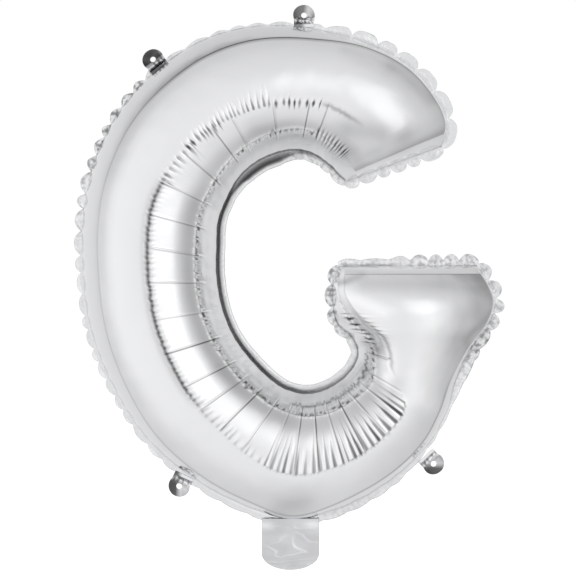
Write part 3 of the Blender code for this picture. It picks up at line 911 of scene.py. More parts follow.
def ramp(tree, value, low, high, to_low=0.0, to_high=1.0, **settings):
    """Map Range node: to_low at low, to_high at high, and level beyond."""
    inputs = {"Value": value, "From Min": low, "From Max": high, "To Min": to_low, "To Max": to_high}
    return tree_node(tree, "ShaderNodeMapRange", inputs, **settings).outputs[0]


def noise_node(tree, place, scale, detail):
    inputs = {"Vector": place, "Scale": scale, "Detail": detail}
    return tree_node(tree, "ShaderNodeTexNoise", inputs).outputs["Fac"]


print("node helpers ready")

# %% [markdown]
# ## Foil
# Metallised film is a bright, slightly rolled mirror. One shader group gives the small
# unevenness that every foil piece shares, at each piece's own strength: long soft waves,
# fine crinkles, and a faint change of gloss. It also paints each point's shade and
# highlight into the film's colour, darker or lighter. The Principled shader itself stays
# in each material.

# %% The unevenness of film
WAVE_SCALE = 45.0
GLOSS_SCALE = 30.0
FILM_INPUTS = ("Wave Height", "Crinkle Height", "Crinkle Scale", "Gloss", "Gloss Change")


def film_group():
    """Shader group: normal and gloss of uneven film, and its colour with the painted shade and highlight.
    """
    group = bpy.data.node_groups.new("film_unevenness_and_painted_shade", "ShaderNodeTree")
    for way, label, kind in (
        ("INPUT", "Colour", "Color"), *[("INPUT", label, "Float") for label in FILM_INPUTS],
        ("OUTPUT", "Normal", "Vector"), ("OUTPUT", "Roughness", "Float"), ("OUTPUT", "Colour", "Color"),
    ):
        group.interface.new_socket(label, in_out=way, socket_type="NodeSocket" + kind)
    entry = group.nodes.new("NodeGroupInput").outputs
    place = group.nodes.new("ShaderNodeTexCoord").outputs["Object"]
    wave = calc(group, "MULTIPLY", noise_node(group, place, WAVE_SCALE, 1.0), entry["Wave Height"])
    crinkle = noise_node(group, place, entry["Crinkle Scale"], 3.0)
    height = calc(group, "MULTIPLY_ADD", crinkle, entry["Crinkle Height"], wave)
    bump = tree_node(group, "ShaderNodeBump", {"Distance": 1.0, "Height": height})
    gloss = noise_node(group, place, GLOSS_SCALE, 2.0)
    # painted shade darkens the colour; below 0 it is a painted highlight and lightens it
    shadow = tree_node(group, "ShaderNodeAttribute", attribute_name="painted_shade_and_highlight").outputs["Fac"]
    light = calc(group, "SUBTRACT", 1.0, shadow)
    tree_node(group, "NodeGroupOutput", {
        "Normal": bump.outputs["Normal"],
        "Roughness": calc(group, "MULTIPLY_ADD", gloss, entry["Gloss Change"], entry["Gloss"]),
        "Colour": vector_calc(group, "SCALE", entry["Colour"], light),
    })
    return group


unevenness = film_group()
print(unevenness.name, len(unevenness.nodes), "nodes")

# %% [markdown]
# Four foils use the group. The sheets are pulled tight and smooth, the margin is soft and
# crinkled, the tabs are almost polished, and the tail is dull from handling.

# %% The four foils
FOILS = (
    # name, grey of the film, height of waves and of crinkles (mm), scale of the crinkles,
    # roughness, change of roughness
    ("panel_foil", 0.88, 0.6, 0.04, 240.0, 0.14, 0.06),
    ("margin_foil", 0.80, 0.6, 0.35, 420.0, 0.16, 0.08),
    ("tab_foil", 0.86, 1.0, 0.10, 300.0, 0.07, 0.04),
    ("tail_foil", 0.66, 1.0, 0.15, 200.0, 0.22, 0.08),
)
COOL_TINT = (0.0, 0.005, 0.015)


def foil_material(name, grey, wave, crinkle, *others):
    material = bpy.data.materials.new(name)
    material.use_nodes = True
    tree = material.node_tree
    shader = tree.nodes["Principled BSDF"]
    shader.inputs["Metallic"].default_value = 1.0
    colour = tuple(grey + tint for tint in COOL_TINT) + (1.0,)
    values = (wave * MM, crinkle * MM, *others)
    inputs = {"Colour": colour, **dict(zip(FILM_INPUTS, values))}
    film = tree_node(tree, "ShaderNodeGroup", inputs, node_tree=unevenness).outputs
    for given, taken in (("Normal", "Normal"), ("Roughness", "Roughness"), ("Colour", "Base Color")):
        tree.links.new(film[given], shader.inputs[taken])
    return material


foils = {row[0]: foil_material(*row) for row in FOILS}
for piece, node in ((front_sheet, "front_panel"), (back_sheet, "back_panel")):
    piece.data.materials.append(foils["panel_foil"])
    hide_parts(node)
    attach(piece, "balloon")
print("foils", ", ".join(foils))

# %% [markdown]
# ## The welded margin
# Outside the weld the two films lie flat on each other. The pillow pulls the weld
# shorter, so this margin has too much length: it gathers into petals between pinched
# points. It could be drawn petal by petal, but it follows one rule all the way round, so
# Geometry Nodes grow it from a line that carries the local sizes.

# %% Sizes of the margin along its runs
OUTER_MARGIN = (
    # distance along the guide, petal length, petal height, plain width, ripple, crinkle
    # (mm), backward slope of the film, flatness of the petals' tops, painted shade beside the
    # weld (below 0 a painted highlight), patchy painted shade
    (0, 18, 5.4, 2.0, 1.0, 0.02, 0.30, 3.4, 0.22, 0.0),
    (62, 21, 5.0, 2.2, 1.0, 0.02, 0.30, 3.6, 0.22, 0.0),
    (72, 15, 2.2, 2.0, 0.5, 0.04, 0.30, 2.4, 0.20, 0.05),
    (96, 14, 1.8, 0.5, 0.4, 0.04, 0.30, 1.8, 0.35, 0.10),
    (136, 17, 2.0, 0.5, 0.4, 0.10, 0.30, 1.6, 0.40, 0.10),
    (150, 13, 3.6, 0.4, 0.8, 0.30, 0.30, 1.7, 0.10, 0.60),
    (195, 14, 4.4, 0.3, 1.2, 0.35, 0.30, 1.7, 0.20, 0.65),
    (207, 14, 5.2, 0.3, 1.2, 0.30, 0.30, 2.2, -0.10, 0.30),
    (240, 15, 4.6, 0.5, 1.2, 0.15, 0.30, 2.4, -0.05, 0.10),
    (255, 13, 3.2, 1.4, 0.8, 0.05, 0.30, 2.4, 0.0, 0.05),
    (330, 14, 2.6, 1.8, 0.8, 0.04, 0.30, 2.0, 0.0, 0.05),
    (365, 18, 1.6, 3.2, 0.6, 0.04, 0.30, 2.0, 0.0, 0.05),
    (398, 18, 0.8, 4.4, 0.5, 0.10, 0.30, 2.0, -0.13, 0.0),
    (428, 18, 1.0, 4.4, 0.5, 0.10, 0.30, 2.0, 0.0, 0.15),
    (450, 19, 1.2, 3.8, 0.5, 0.04, 0.30, 1.6, 0.0, 0.05),
    (474, 19, 1.0, 1.4, 0.4, 0.04, 0.30, 1.6, 0.12, 0.05),
    (490, 18, 0.8, 1.6, 0.4, 0.04, 0.30, 1.6, 0.10, 0.05),
    (505, 18, 0.6, 5.6, 0.8, 0.10, 0.30, 1.6, -0.13, 0.10),
    (516, 9, 1.0, 5.8, 1.4, 0.45, 0.30, 2.0, -0.05, 0.60),
    (527, 14, 3.0, 3.0, 1.8, 0.45, 0.30, 2.4, 0.05, 0.55),
    (534, 12, 6.0, 0.4, 1.4, 0.35, 0.30, 2.4, 0.05, 0.35),
    (570, 13, 6.2, 0.3, 1.4, 0.30, 0.30, 2.4, 0.05, 0.35),
)
BAR_MARGIN = (
    # distances here run over the whole bar, from its right end at 0 to its left at 570
    (0, 13, 4.6, 3.0, 0.8, 0.20, 0.35, 2.2, 0.02, 0.40),
    (260, 14, 4.0, 3.4, 0.8, 0.20, 0.35, 2.2, 0.05, 0.35),
    (300, 22, 3.4, 3.6, 1.2, 0.10, 0.35, 1.8, 0.08, 0.10),
    (400, 20, 1.0, 4.2, 0.8, 0.10, 0.35, 1.6, 0.35, 0.15),
    (520, 18, 1.2, 3.8, 0.8, 0.15, 0.35, 1.8, 0.20, 0.25),
    (570, 13, 3.4, 2.4, 0.8, 0.30, 0.35, 2.2, 0.05, 0.40),
)
TERMINAL_MARGIN = (
    (0, 13, 3.4, 2.6, 1.0, 0.10, 0.30, 2.4, 0.10, 0.15),
    (570, 17, 4.6, 2.6, 1.0, 0.05, 0.30, 3.0, 0.06, 0.10),
)
INNER_MARGIN = (
    (0, 10, 2.0, 2.6, 0.5, 0.15, 0.50, 2.4, 0.15, 0.20),
    (50, 12, 0.8, 4.4, 0.3, 0.10, 0.60, 2.4, 0.35, 0.30),
    (78, 14, 0.4, 5.6, 0.2, 0.05, 0.90, 2.4, 0.45, 0.30),
    (100, 14, 0.3, 8.0, 0.2, 0.02, 0.90, 2.4, 0.88, 0.0),
    (140, 14, 0.2, 7.8, 0.2, 0.02, 0.90, 2.4, 0.90, 0.0),
    (172, 14, 0.2, 4.8, 0.2, 0.02, 0.90, 2.4, 0.90, 0.0),
    (300, 14, 0.2, 4.4, 0.2, 0.02, 0.90, 2.4, 0.80, 0.0),
    (345, 14, 0.2, 5.0, 0.2, 0.02, 0.90, 2.4, 0.90, 0.0),
    (395, 14, 0.2, 4.6, 0.2, 0.02, 0.90, 2.4, 0.70, 0.0),
    (450, 14, 0.3, 4.4, 0.2, 0.02, 0.70, 2.4, 0.30, 0.0),
    (505, 14, 0.5, 4.0, 0.2, 0.04, 0.60, 2.4, 0.10, 0.10),
    (524, 12, 1.6, 3.0, 0.5, 0.25, 0.60, 2.4, 0.0, 0.40),
    (538, 15, 4.2, 0.8, 0.8, 0.30, 0.40, 2.4, 0.12, 0.55),
    (570, 15, 4.4, 0.8, 0.8, 0.30, 0.40, 2.4, 0.12, 0.55),
)
# sizes carried by the margin's line; shadow and patches are painted shade
RUN_COLUMNS = (
    "petal_height", "plain_width", "ripple", "crinkle", "lean", "flatness", "shadow", "patches",
)
LENGTH_COLUMNS = 4

margin_rows = OUTER_MARGIN + BAR_MARGIN + INNER_MARGIN + TERMINAL_MARGIN
print("widest margin", round(max(row[2] + row[3] for row in margin_rows), 1), "mm")

# %% [markdown]
# The four runs join into one closed line round the weld, so that the petals run on over
# the corners. Each point of the line carries the sizes of its place as attributes, and how
# far along its petal it stands.

# %% The line round the whole weld
LINE_STEP = 0.6 * MM
CORNER_SOFTENING_STEPS = 5
PETAL_LENGTHS = (0.75, 1.25)
SHORTEST_PETAL_STEPS = 4
MARGIN_SEED = 5
LONG_RUN_READINGS = 6000
SHORT_RUN_READINGS = 200


def run_between(start, end):
    share = np.linspace(0.0, 1.0, SHORT_RUN_READINGS)[:, None]
    return start * (1.0 - share) + end * share


def whole_weld():
    """Closed line round the weld, and for each of its runs the table read at each point."""
    distance = np.linspace(0.0, STROKE_LENGTH, LONG_RUN_READINGS)
    short = np.linspace(0.0, STROKE_LENGTH, SHORT_RUN_READINGS)
    outer, inner = weld_points(distance)
    runs = (
        (outer, distance, OUTER_MARGIN),
        (run_between(outer[-1], inner[-1]), short, BAR_MARGIN),
        (inner[::-1], distance[::-1], INNER_MARGIN),
        (run_between(inner[0], outer[0]), short, TERMINAL_MARGIN),
    )
    points, sizes = [], []
    for run, along, rows in runs:
        length = running_length(run)
        count = int(length[-1] / LINE_STEP)
        place = np.arange(count) / count * length[-1]
        points.append(np.stack([np.interp(place, length, run[:, k]) for k in (0, 1)], -1))
        guide = np.interp(place, length, along)
        local = np.hstack([read_table(guide, rows, column) for column in range(1, len(rows[0]))])
        local[:, 1:LENGTH_COLUMNS + 1] *= MM
        sizes.append(local)
    return np.vstack(points), sizes


def petal_places(sizes, seed):
    """Place within its petal, 0 to 1, of each point of the line. Petals end at corners."""
    rng = np.random.default_rng(seed)
    places = []
    for local in sizes:
        count = len(local)
        ends = [0]
        while ends[-1] < count:
            length = local[min(ends[-1], count - 1), 0] * MM * rng.uniform(*PETAL_LENGTHS)
            ends.append(ends[-1] + max(int(length / LINE_STEP), SHORTEST_PETAL_STEPS))
        ends = np.array(ends) * count / ends[-1]
        steps = np.arange(count)
        index = np.searchsorted(ends, steps, side="right") - 1
        places.append((steps - ends[index]) / (ends[index + 1] - ends[index]))
    return np.concatenate(places)


def margin_line(seed):
    line, sizes = whole_weld()
    tangent = np.roll(line, -1, axis=0) - np.roll(line, 1, axis=0)
    nearby = range(-CORNER_SOFTENING_STEPS, CORNER_SOFTENING_STEPS + 1)
    smooth = sum(np.roll(tangent, k, axis=0) for k in nearby)
    smooth /= np.linalg.norm(smooth, axis=1, keepdims=True)
    outward = np.stack([smooth[:, 1], np.zeros(len(line)), -smooth[:, 0]], -1)
    points = np.stack([line[:, 0], np.zeros(len(line)), line[:, 1]], -1)
    mesh = bpy.data.meshes.new("margin_line")
    mesh.from_pydata(points.tolist(), [(k, k + 1) for k in range(len(line) - 1)], [])
    mesh.attributes.new("outward", "FLOAT_VECTOR", "POINT").data.foreach_set("vector", outward.ravel())
    columns = {"petal_place": petal_places(sizes, seed)}
    columns.update(zip(RUN_COLUMNS, np.vstack(sizes).T[1:]))
    for label, values in columns.items():
        attribute = mesh.attributes.new(label, "FLOAT", "POINT")
        attribute.data.foreach_set("value", np.asarray(values, np.float32))
    made = bpy.data.objects.new("welded_margin_line", mesh)
    bpy.context.scene.collection.objects.link(made)
    return made


line_object = margin_line(MARGIN_SEED)
print("weld line", len(line_object.data.vertices), "points")

# %% [markdown]
# The tree lays a grid along the line. Each row reads its point's sizes, each column is a
# step outwards. Petals round off the width, domes lift each petal a little, and two
# noises ripple and crinkle the free edge.

# %% Shape of the margin as nodes
RIPPLE_RISE = 1.4
LEAN_LOSS = 0.45


def row_reader(tree, line, point):
    """Gives a function that reads an attribute of the line at the grid's own row."""
    def at_row(label, kind="FLOAT"):
        read = tree_node(tree, "GeometryNodeInputNamedAttribute", {"Name": label}, data_type=kind)
        inputs = {"Geometry": line, "Value": read.outputs[0], "Index": point}
        return tree_node(tree, "GeometryNodeSampleIndex", inputs, data_type=kind).outputs[0]
    return at_row


def margin_noise(tree, entry, place, scale, detail):
    """Noise of the tree's own seed at a place, from 0 to 1."""
    return tree_node(tree, "ShaderNodeTexNoise", {
        "Vector": place, "W": entry["Seed"], "Scale": entry[scale], "Detail": detail,
    }, noise_dimensions="4D").outputs[0]


def margin_places(tree, entry, at_row, across):
    """Place of each grid point flat in the weld's plane, and its place when lifted."""
    base, outward = at_row("position", "FLOAT_VECTOR"), at_row("outward", "FLOAT_VECTOR")
    from_middle = calc(tree, "ABSOLUTE", calc(tree, "MULTIPLY_ADD", at_row("petal_place"), 2.0, -1.0))
    profile = calc(tree, "SUBTRACT", 1.0, calc(tree, "POWER", from_middle, at_row("flatness")))
    width = calc(tree, "MULTIPLY_ADD", at_row("petal_height"), profile, at_row("plain_width"))
    reach = calc(tree, "MULTIPLY", across, calc(tree, "ADD", width, entry["Root Overlap"]))
    reach = calc(tree, "SUBTRACT", reach, entry["Root Overlap"])
    flat = vector_calc(tree, "ADD", base, vector_calc(tree, "SCALE", outward, reach))

    ripple = calc(tree, "MULTIPLY_ADD", margin_noise(tree, entry, base, "Ripple Scale", 1.0), 4.0, -2.0)
    crinkle = calc(tree, "MULTIPLY_ADD", margin_noise(tree, entry, flat, "Crinkle Scale", 2.0), 4.0, -2.0)
    ripple = calc(tree, "MULTIPLY", ripple, at_row("ripple"))
    crinkle = calc(tree, "MULTIPLY", crinkle, at_row("crinkle"))
    dome = calc(tree, "MULTIPLY", calc(tree, "MULTIPLY", profile, entry["Dome"]), at_row("petal_height"))
    free = calc(tree, "POWER", across, RIPPLE_RISE)
    lift = calc(tree, "ADD", calc(tree, "SUBTRACT", ripple, dome), crinkle)
    bent = calc(tree, "SUBTRACT", 1.0, calc(tree, "MULTIPLY", free, LEAN_LOSS))
    back = calc(tree, "MULTIPLY", calc(tree, "MULTIPLY", at_row("lean"), reach), bent)
    rise = tree_node(tree, "ShaderNodeCombineXYZ", {"Y": calc(tree, "MULTIPLY_ADD", lift, free, back)})
    return flat, vector_calc(tree, "ADD", flat, rise.outputs[0])


print("margin places ready")

# %% [markdown]
# The margin has its own painted shade: patches painted where it is crumpled, and a
# painted dark line beside the weld, where the film turns into the counter. Where the margin
# is broad, that line stands off from the weld and spreads.

# %% Painted shade of the margin as nodes
PATCH_NOISE = (0.46, 0.60)
BROAD_MARGIN = (5.0 * MM, 7.4 * MM)
LINE_SHARE = 0.46
LINE_SHARE_GAIN = 0.36
LINE_FADE = 0.20
LINE_START = (0.10, 0.40)
LINE_START_SHADE = 0.40


# painted shade of the margin: noisy patches, and a line beside the weld
def margin_shadow(tree, entry, at_row, across, flat):
    patch = ramp(tree, margin_noise(tree, entry, flat, "Patch Scale", 2.0), *PATCH_NOISE)
    patch = calc(tree, "MULTIPLY", patch, at_row("patches"))
    breadth = ramp(tree, at_row("plain_width"), *BROAD_MARGIN)
    line_end = calc(tree, "MULTIPLY_ADD", breadth, LINE_SHARE_GAIN, LINE_SHARE)
    line = ramp(tree, calc(tree, "SUBTRACT", line_end, across), 0.0, LINE_FADE)
    start = ramp(tree, across, *LINE_START, LINE_START_SHADE, 1.0)
    start = calc(tree, "MAXIMUM", start, calc(tree, "SUBTRACT", 1.0, breadth))
    shadow = calc(tree, "MULTIPLY_ADD", calc(tree, "MULTIPLY", line, start), at_row("shadow"), patch)
    return calc(tree, "MINIMUM", shadow, DARKEST_PAINTED_SHADE)


print("margin shadow ready")

# %% [markdown]
# The whole tree takes the line and a few named sizes, lays the grid, moves it, stores
# its painted shade, closes its seam, shades it smooth and ends in plain geometry with the
# foil on it.

# %% The margin's tree
MARGIN_SIZES = {
    # input: kind of socket, value
    "Columns": ("Int", 10), "Root Overlap": ("Float", 0.6 * MM), "Dome": ("Float", 0.35),
    "Patch Scale": ("Float", 300.0), "Ripple Scale": ("Float", 70.0), "Crinkle Scale": ("Float", 520.0),
    "Seed": ("Float", 3.0),
}
SEAM_DISTANCE = 0.01 * MM


def margin_tree():
    tree = bpy.data.node_groups.new("margin_tree", "GeometryNodeTree")
    sizes = [(label, kind) for label, (kind, value) in MARGIN_SIZES.items()]
    for label, kind in (("Line", "Geometry"), *sizes, ("Foil", "Material")):
        tree.interface.new_socket(label, in_out="INPUT", socket_type="NodeSocket" + kind)
    tree.interface.new_socket("Margin", in_out="OUTPUT", socket_type="NodeSocketGeometry")
    entry = tree.nodes.new("NodeGroupInput").outputs
    columns = entry["Columns"]
    count = tree_node(tree, "GeometryNodeAttributeDomainSize", {0: entry["Line"]}).outputs["Point Count"]
    grid = {"Vertices X": calc(tree, "ADD", count, 1.0), "Vertices Y": columns}
    geometry = tree_node(tree, "GeometryNodeMeshGrid", grid).outputs[0]
    index = tree.nodes.new("GeometryNodeInputIndex").outputs[0]
    row = calc(tree, "FLOOR", calc(tree, "DIVIDE", calc(tree, "ADD", index, 0.5), columns))
    column = calc(tree, "SUBTRACT", index, calc(tree, "MULTIPLY", row, columns))
    across = calc(tree, "DIVIDE", column, calc(tree, "SUBTRACT", columns, 1.0))
    at_row = row_reader(tree, entry["Line"], calc(tree, "MODULO", row, count))
    flat, place = margin_places(tree, entry, at_row, across)
    shadow = {"Name": "painted_shade_and_highlight", "Value": margin_shadow(tree, entry, at_row, across, flat)}
    for kind, inputs, settings in (
        ("SetPosition", {"Position": place}, {}),
        ("StoreNamedAttribute", shadow, {"data_type": "FLOAT", "domain": "POINT"}),
        ("MergeByDistance", {"Distance": SEAM_DISTANCE}, {}), ("SetShadeSmooth", {}, {}),
        ("RealizeInstances", {}, {}), ("SetMaterial", {"Material": entry["Foil"]}, {}),
    ):
        inputs = {"Geometry": geometry, **inputs}
        geometry = tree_node(tree, "GeometryNode" + kind, inputs, **settings).outputs[0]
    tree.links.new(geometry, tree.nodes.new("NodeGroupOutput").inputs[0])
    return tree


grow = line_object.modifiers.new("margin", "NODES")
grow.node_group = margin_tree()
print(grow.node_group.name, len(grow.node_group.nodes), "nodes")

# %% [markdown]
# A modifier's inputs are set through the identifiers of their sockets. Solidify then gives
# the film its thickness, and the evaluated mesh becomes the finished piece.

# %% Grow the margin
FILM_THICKNESS = 0.2 * MM


def set_input(modifier, label, value):
    for item in modifier.node_group.interface.items_tree:
        if item.item_type == "SOCKET" and item.in_out == "INPUT" and item.name == label:
            modifier[item.identifier] = value


def as_film(source, name):
    """The evaluated mesh with the film's thickness, as a new object. The source is removed."""
    thicken = source.modifiers.new("film", "SOLIDIFY")
    thicken.thickness = FILM_THICKNESS
    thicken.offset = 0.0
    graph = bpy.context.evaluated_depsgraph_get()
    mesh = bpy.data.meshes.new_from_object(source.evaluated_get(graph))
    made = bpy.data.objects.new(name, mesh)
    bpy.context.scene.collection.objects.link(made)
    bpy.data.objects.remove(source)
    return made


for label, (kind, value) in MARGIN_SIZES.items():
    set_input(grow, label, value)
set_input(grow, "Foil", foils["margin_foil"])
welded_margin = as_film(line_object, "welded_margin")
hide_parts("outer_weld", "bar_weld", "inner_weld", "terminal_weld")
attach(welded_margin, "balloon")
print("welded margin", len(welded_margin.data.polygons), "faces")

# %% [markdown]
# ## Hanging tabs
# Four round tabs of the same welded film stand out of the margin, each with a punched
# hole for a thread. Film this thin never stays flat: each tab leans and curls a little,
# and is crumpled where it is folded at its root. Each one is a ring of points round its
# hole, bent by those few numbers, so that one function makes all four.

# %% Film and noise for small pieces
CRUMPLE_SEED_STEP = 7.3


def crumple_noise(x, z, spacing, seed):
    """Repeatable noise from -1 to 1 at each point of a grid."""
    places = zip((x / spacing).ravel(), (z / spacing).ravel())
    values = [noise.noise(Vector((u, seed * CRUMPLE_SEED_STEP, v))) for u, v in places]
    return np.array(values).reshape(np.shape(x))


def film_piece(name, grid, closed, material, shadow):
    """Film of the set thickness from a grid of points, closed round its second side or not."""
    rows, columns = grid.shape[:2]
    numbers = np.arange(rows * columns).reshape(rows, columns)
    if closed:
        numbers = np.hstack([numbers, numbers[:, :1]])
    made = mesh_object(name + "_sheet", grid.reshape(-1, 3), grid_faces(numbers, False), shadow)
    made.data.materials.append(material)
    return as_film(made, name)


print("film is drawn", FILM_THICKNESS / MM, "mm thick")

# %% [markdown]
# A tab's rings run from the hole to the edge. Towards the root the edge leaves the circle
# and follows the strip that joins the tab to the margin. Lean, curl and crumples begin a
# little away from the root, so that the tab stays joined to it when it folds.

# %% Shape of a tab
TAB_RADIUS = 7.6 * MM
TAB_HOLE_RADIUS = 2.0 * MM
TAB_ROOT_HALF_WIDTH = 7.0 * MM
TAB_ROOT_TUCK = 2.0 * MM
TAB_RINGS = 22
TAB_SPOKES = 96
# distances from the root: centre and half width of the dip, and where lean and curl are full
TAB_DIP = (2.2 * MM, 1.6 * MM)
TAB_LEAN_START = 3.0 * MM
TAB_CURL_START = 4.0 * MM
TAB_CRUMPLE_REACH = 6.0 * MM
# height and spacing of the crumples at the root and of the wave over the disc
TAB_CRUMPLE = (1.1 * MM, 1.6 * MM)
TAB_WAVE = (0.25 * MM, 6.0 * MM)
# how sharp the edge of the dark reflection painted on the disc is, and how strong the
# shade and highlights painted on the crumples are
TAB_SHADE_EDGE = 2.2
TAB_CRUMPLE_SHADE = 2.4
TAB_CRUMPLE_DARKEST = 0.7


def tab_outline(root):
    """Across, outwards and reach of each spoke, with the strip towards the root."""
    angle = np.arange(TAB_SPOKES) * 2.0 * math.pi / TAB_SPOKES
    across, out = np.sin(angle), np.cos(angle)
    strip = np.minimum(
        TAB_ROOT_HALF_WIDTH / np.maximum(np.abs(across), 1e-6),
        (root + TAB_ROOT_TUCK) / np.maximum(-out, 1e-6),
    )
    return across, out, np.where(out < -0.02, np.maximum(TAB_RADIUS, strip), TAB_RADIUS)


def tab_grid(seed, centre, away, root, lean, curl, dip, painted_darkness, dark_side, dark_reach):
    """Points of a tab's film, ring by ring, and each one's painted shade: a dark reflection and the
    crumples' shade.
    """
    across, out, reach = tab_outline(root)
    share = np.linspace(0.0, 1.0, TAB_RINGS)[:, None]
    radius = TAB_HOLE_RADIUS + (reach - TAB_HOLE_RADIUS) * share
    u, v = radius * across, radius * out
    plan = centre + u[..., None] * np.array([away[1], -away[0]]) + v[..., None] * away
    from_root = np.maximum(v + root, 0.0)
    curled = np.clip(from_root / TAB_CURL_START, 0.0, 1.0)
    near_root = np.clip(1.0 - from_root / TAB_CRUMPLE_REACH, 0.0, 1.0) * np.clip(from_root / MM, 0.0, 1.0)
    fine = crumple_noise(u, 0.35 * v, TAB_CRUMPLE[1], seed)
    broad = crumple_noise(plan[..., 0], plan[..., 1], TAB_WAVE[1], seed + 3)
    lift = lean * v * np.clip(from_root / TAB_LEAN_START, 0.0, 1.0) - dip * MM * bell(from_root, *TAB_DIP)
    lift += curled * (curl * u * np.abs(u) / TAB_RADIUS + TAB_WAVE[0] * broad)
    lift += TAB_CRUMPLE[0] * fine * near_root
    dark_side = np.array(dark_side) / np.linalg.norm(dark_side)
    towards_dark = (plan - centre) @ dark_side / TAB_RADIUS + dark_reach
    shadow = painted_darkness * np.clip(0.5 + TAB_SHADE_EDGE * towards_dark, 0.0, 1.0) * (1.0 - near_root)
    shadow += np.clip(TAB_CRUMPLE_SHADE * fine, -HIGHLIGHT, TAB_CRUMPLE_DARKEST) * near_root
    return np.stack([plan[..., 0], lift, plan[..., 1]], -1), shadow


print("tab", round(2.0 * TAB_RADIUS / MM, 1), "mm wide, hole", 2.0 * TAB_HOLE_RADIUS / MM, "mm")

# %% [markdown]
# The top tab is fixed to the balloon, because the balloon hangs by its hole. The other
# three stay where they are built.

# %% Build the four tabs
TABS = (
    # name, node, body; then hole centre (mm), outward direction, root distance (mm), lean
    # of the disc, curl across it, forward dip at the root (mm); then the strength of the dark
    # reflection painted on it, the side it lies on (x, z), and how far it reaches past the hole
    (("top_tab", "eyelet_top", "balloon"),
     (0.0, 0.0), (0.0, 1.0), 6.2, 0.30, 0.35, 1.2, 0.70, (-1.0, 0.15), 0.10),
    (("upper_left_tab", "eyelet_upper_left", "upper_left_tab"),
     (-105.7, -30.8), (-0.61, 0.79), 6.2, 0.62, 0.10, 2.2, 0.84, (-0.8, -0.6), 0.95),
    (("lower_left_tab", "eyelet_lower_left", "lower_left_tab"),
     (-87.4, -329.5), (-0.43, -0.90), 6.8, 0.40, 0.45, 1.4, 0.84, (-0.9, 0.1), -0.05),
    (("lower_right_tab", "eyelet_lower_right", "lower_right_tab"),
     (90.7, -313.8), (0.70, -0.71), 6.4, 0.38, -0.40, 1.4, 0.80, (-0.1, -1.0), -0.15),
)


def build_tab(names, hole, outward, root, *bends):
    name, node, body = names
    centre = np.array(hole) * MM
    away = np.array(outward) / np.linalg.norm(outward)
    grid, shadow = tab_grid(len(name), centre, away, root * MM, *bends)
    piece = film_piece(name, grid, True, foils["tab_foil"], shadow)
    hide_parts(node)
    if body == "balloon":
        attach(piece, body)
    else:
        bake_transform(piece)
    return piece


for row in TABS:
    print(build_tab(*row).name)

# %% [markdown]
# ## Filler tail
# The balloon is filled through the tail: two flat films, with a thin valve sleeve
# between them. The straw has left them a little crumpled. Each film is a grid that
# narrows to the round end, with a few soft folds pressed into it. Its colour carries
# painted shade along the broad waves, and painted highlights on the streaks of the folds
# and on two patches at the top.

# %% Build the tail
TAIL_CENTRE_X = -9.5 * MM
TAIL_HALF_WIDTH = 20.0 * MM
TAIL_TOP_Z = -352.0 * MM
TAIL_END_Z = -388.0 * MM
TAIL_END_ROUND = 11.5 * MM
TAIL_FILM_OFFSET = 0.8 * MM
TAIL_LEAST_OFFSET = 0.35 * MM
TAIL_ROWS = 90
TAIL_ROW_DRAW = 1.3
TAIL_COLUMNS = 80
TAIL_FOLD_Z = (-354.0 * MM, -360.0 * MM)
TAIL_FREE_FADE = 6.0 * MM
TAIL_JOINED_RELIEF = 0.3
# height, spacing, and how much closer than that it repeats across and along the tail
TAIL_WAVE = (0.35 * MM, 13.0 * MM, 1.0, 1.8)
TAIL_STREAK = (0.30 * MM, 7.0 * MM, 0.7, 1.5)
TAIL_STREAK_SHARPNESS = 5.0
# painted shade of the waves, painted highlight on the streaks, and its share away from the middle
TAIL_WAVE_PAINTED_SHADE = 0.10
TAIL_STREAK_PAINTED_HIGHLIGHT = 0.30
TAIL_OUTER_HIGHLIGHT_SHARE = 0.12
TAIL_MIDDLE_Z = -373.0 * MM
TAIL_MIDDLE_SIZE = (11.0 * MM, 7.0 * MM)
# places (mm) of two patches of painted highlight, their strength, size and flatness
TAIL_PAINTED_HIGHLIGHT_PATCHES = ((-27.0, -357.0), (6.0, -356.0))
TAIL_PATCH_PAINTED_HIGHLIGHT = 0.34
TAIL_PATCH_SIZE = 6.0 * MM
TAIL_PATCH_FLATNESS = 2.2
TAIL_FILMS = (("tail_front", "tail_front_film", -1, 4), ("tail_back", "tail_back_film", 1, 9))


def tail_outline():
    """Places x and z of the tail's grid, which narrows to the round end."""
    down = 1.0 - (1.0 - np.linspace(0.0, 1.0, TAIL_ROWS)) ** TAIL_ROW_DRAW
    z = TAIL_TOP_Z + (TAIL_END_Z - TAIL_TOP_Z) * down
    into_round = np.clip((z - (TAIL_END_Z + TAIL_END_ROUND)) / -TAIL_END_ROUND, 0.0, 0.998)
    half = TAIL_HALF_WIDTH * np.sqrt(1.0 - into_round ** 2)
    x = TAIL_CENTRE_X + half[:, None] * np.linspace(-1.0, 1.0, TAIL_COLUMNS)
    return x, np.broadcast_to(z[:, None], x.shape)


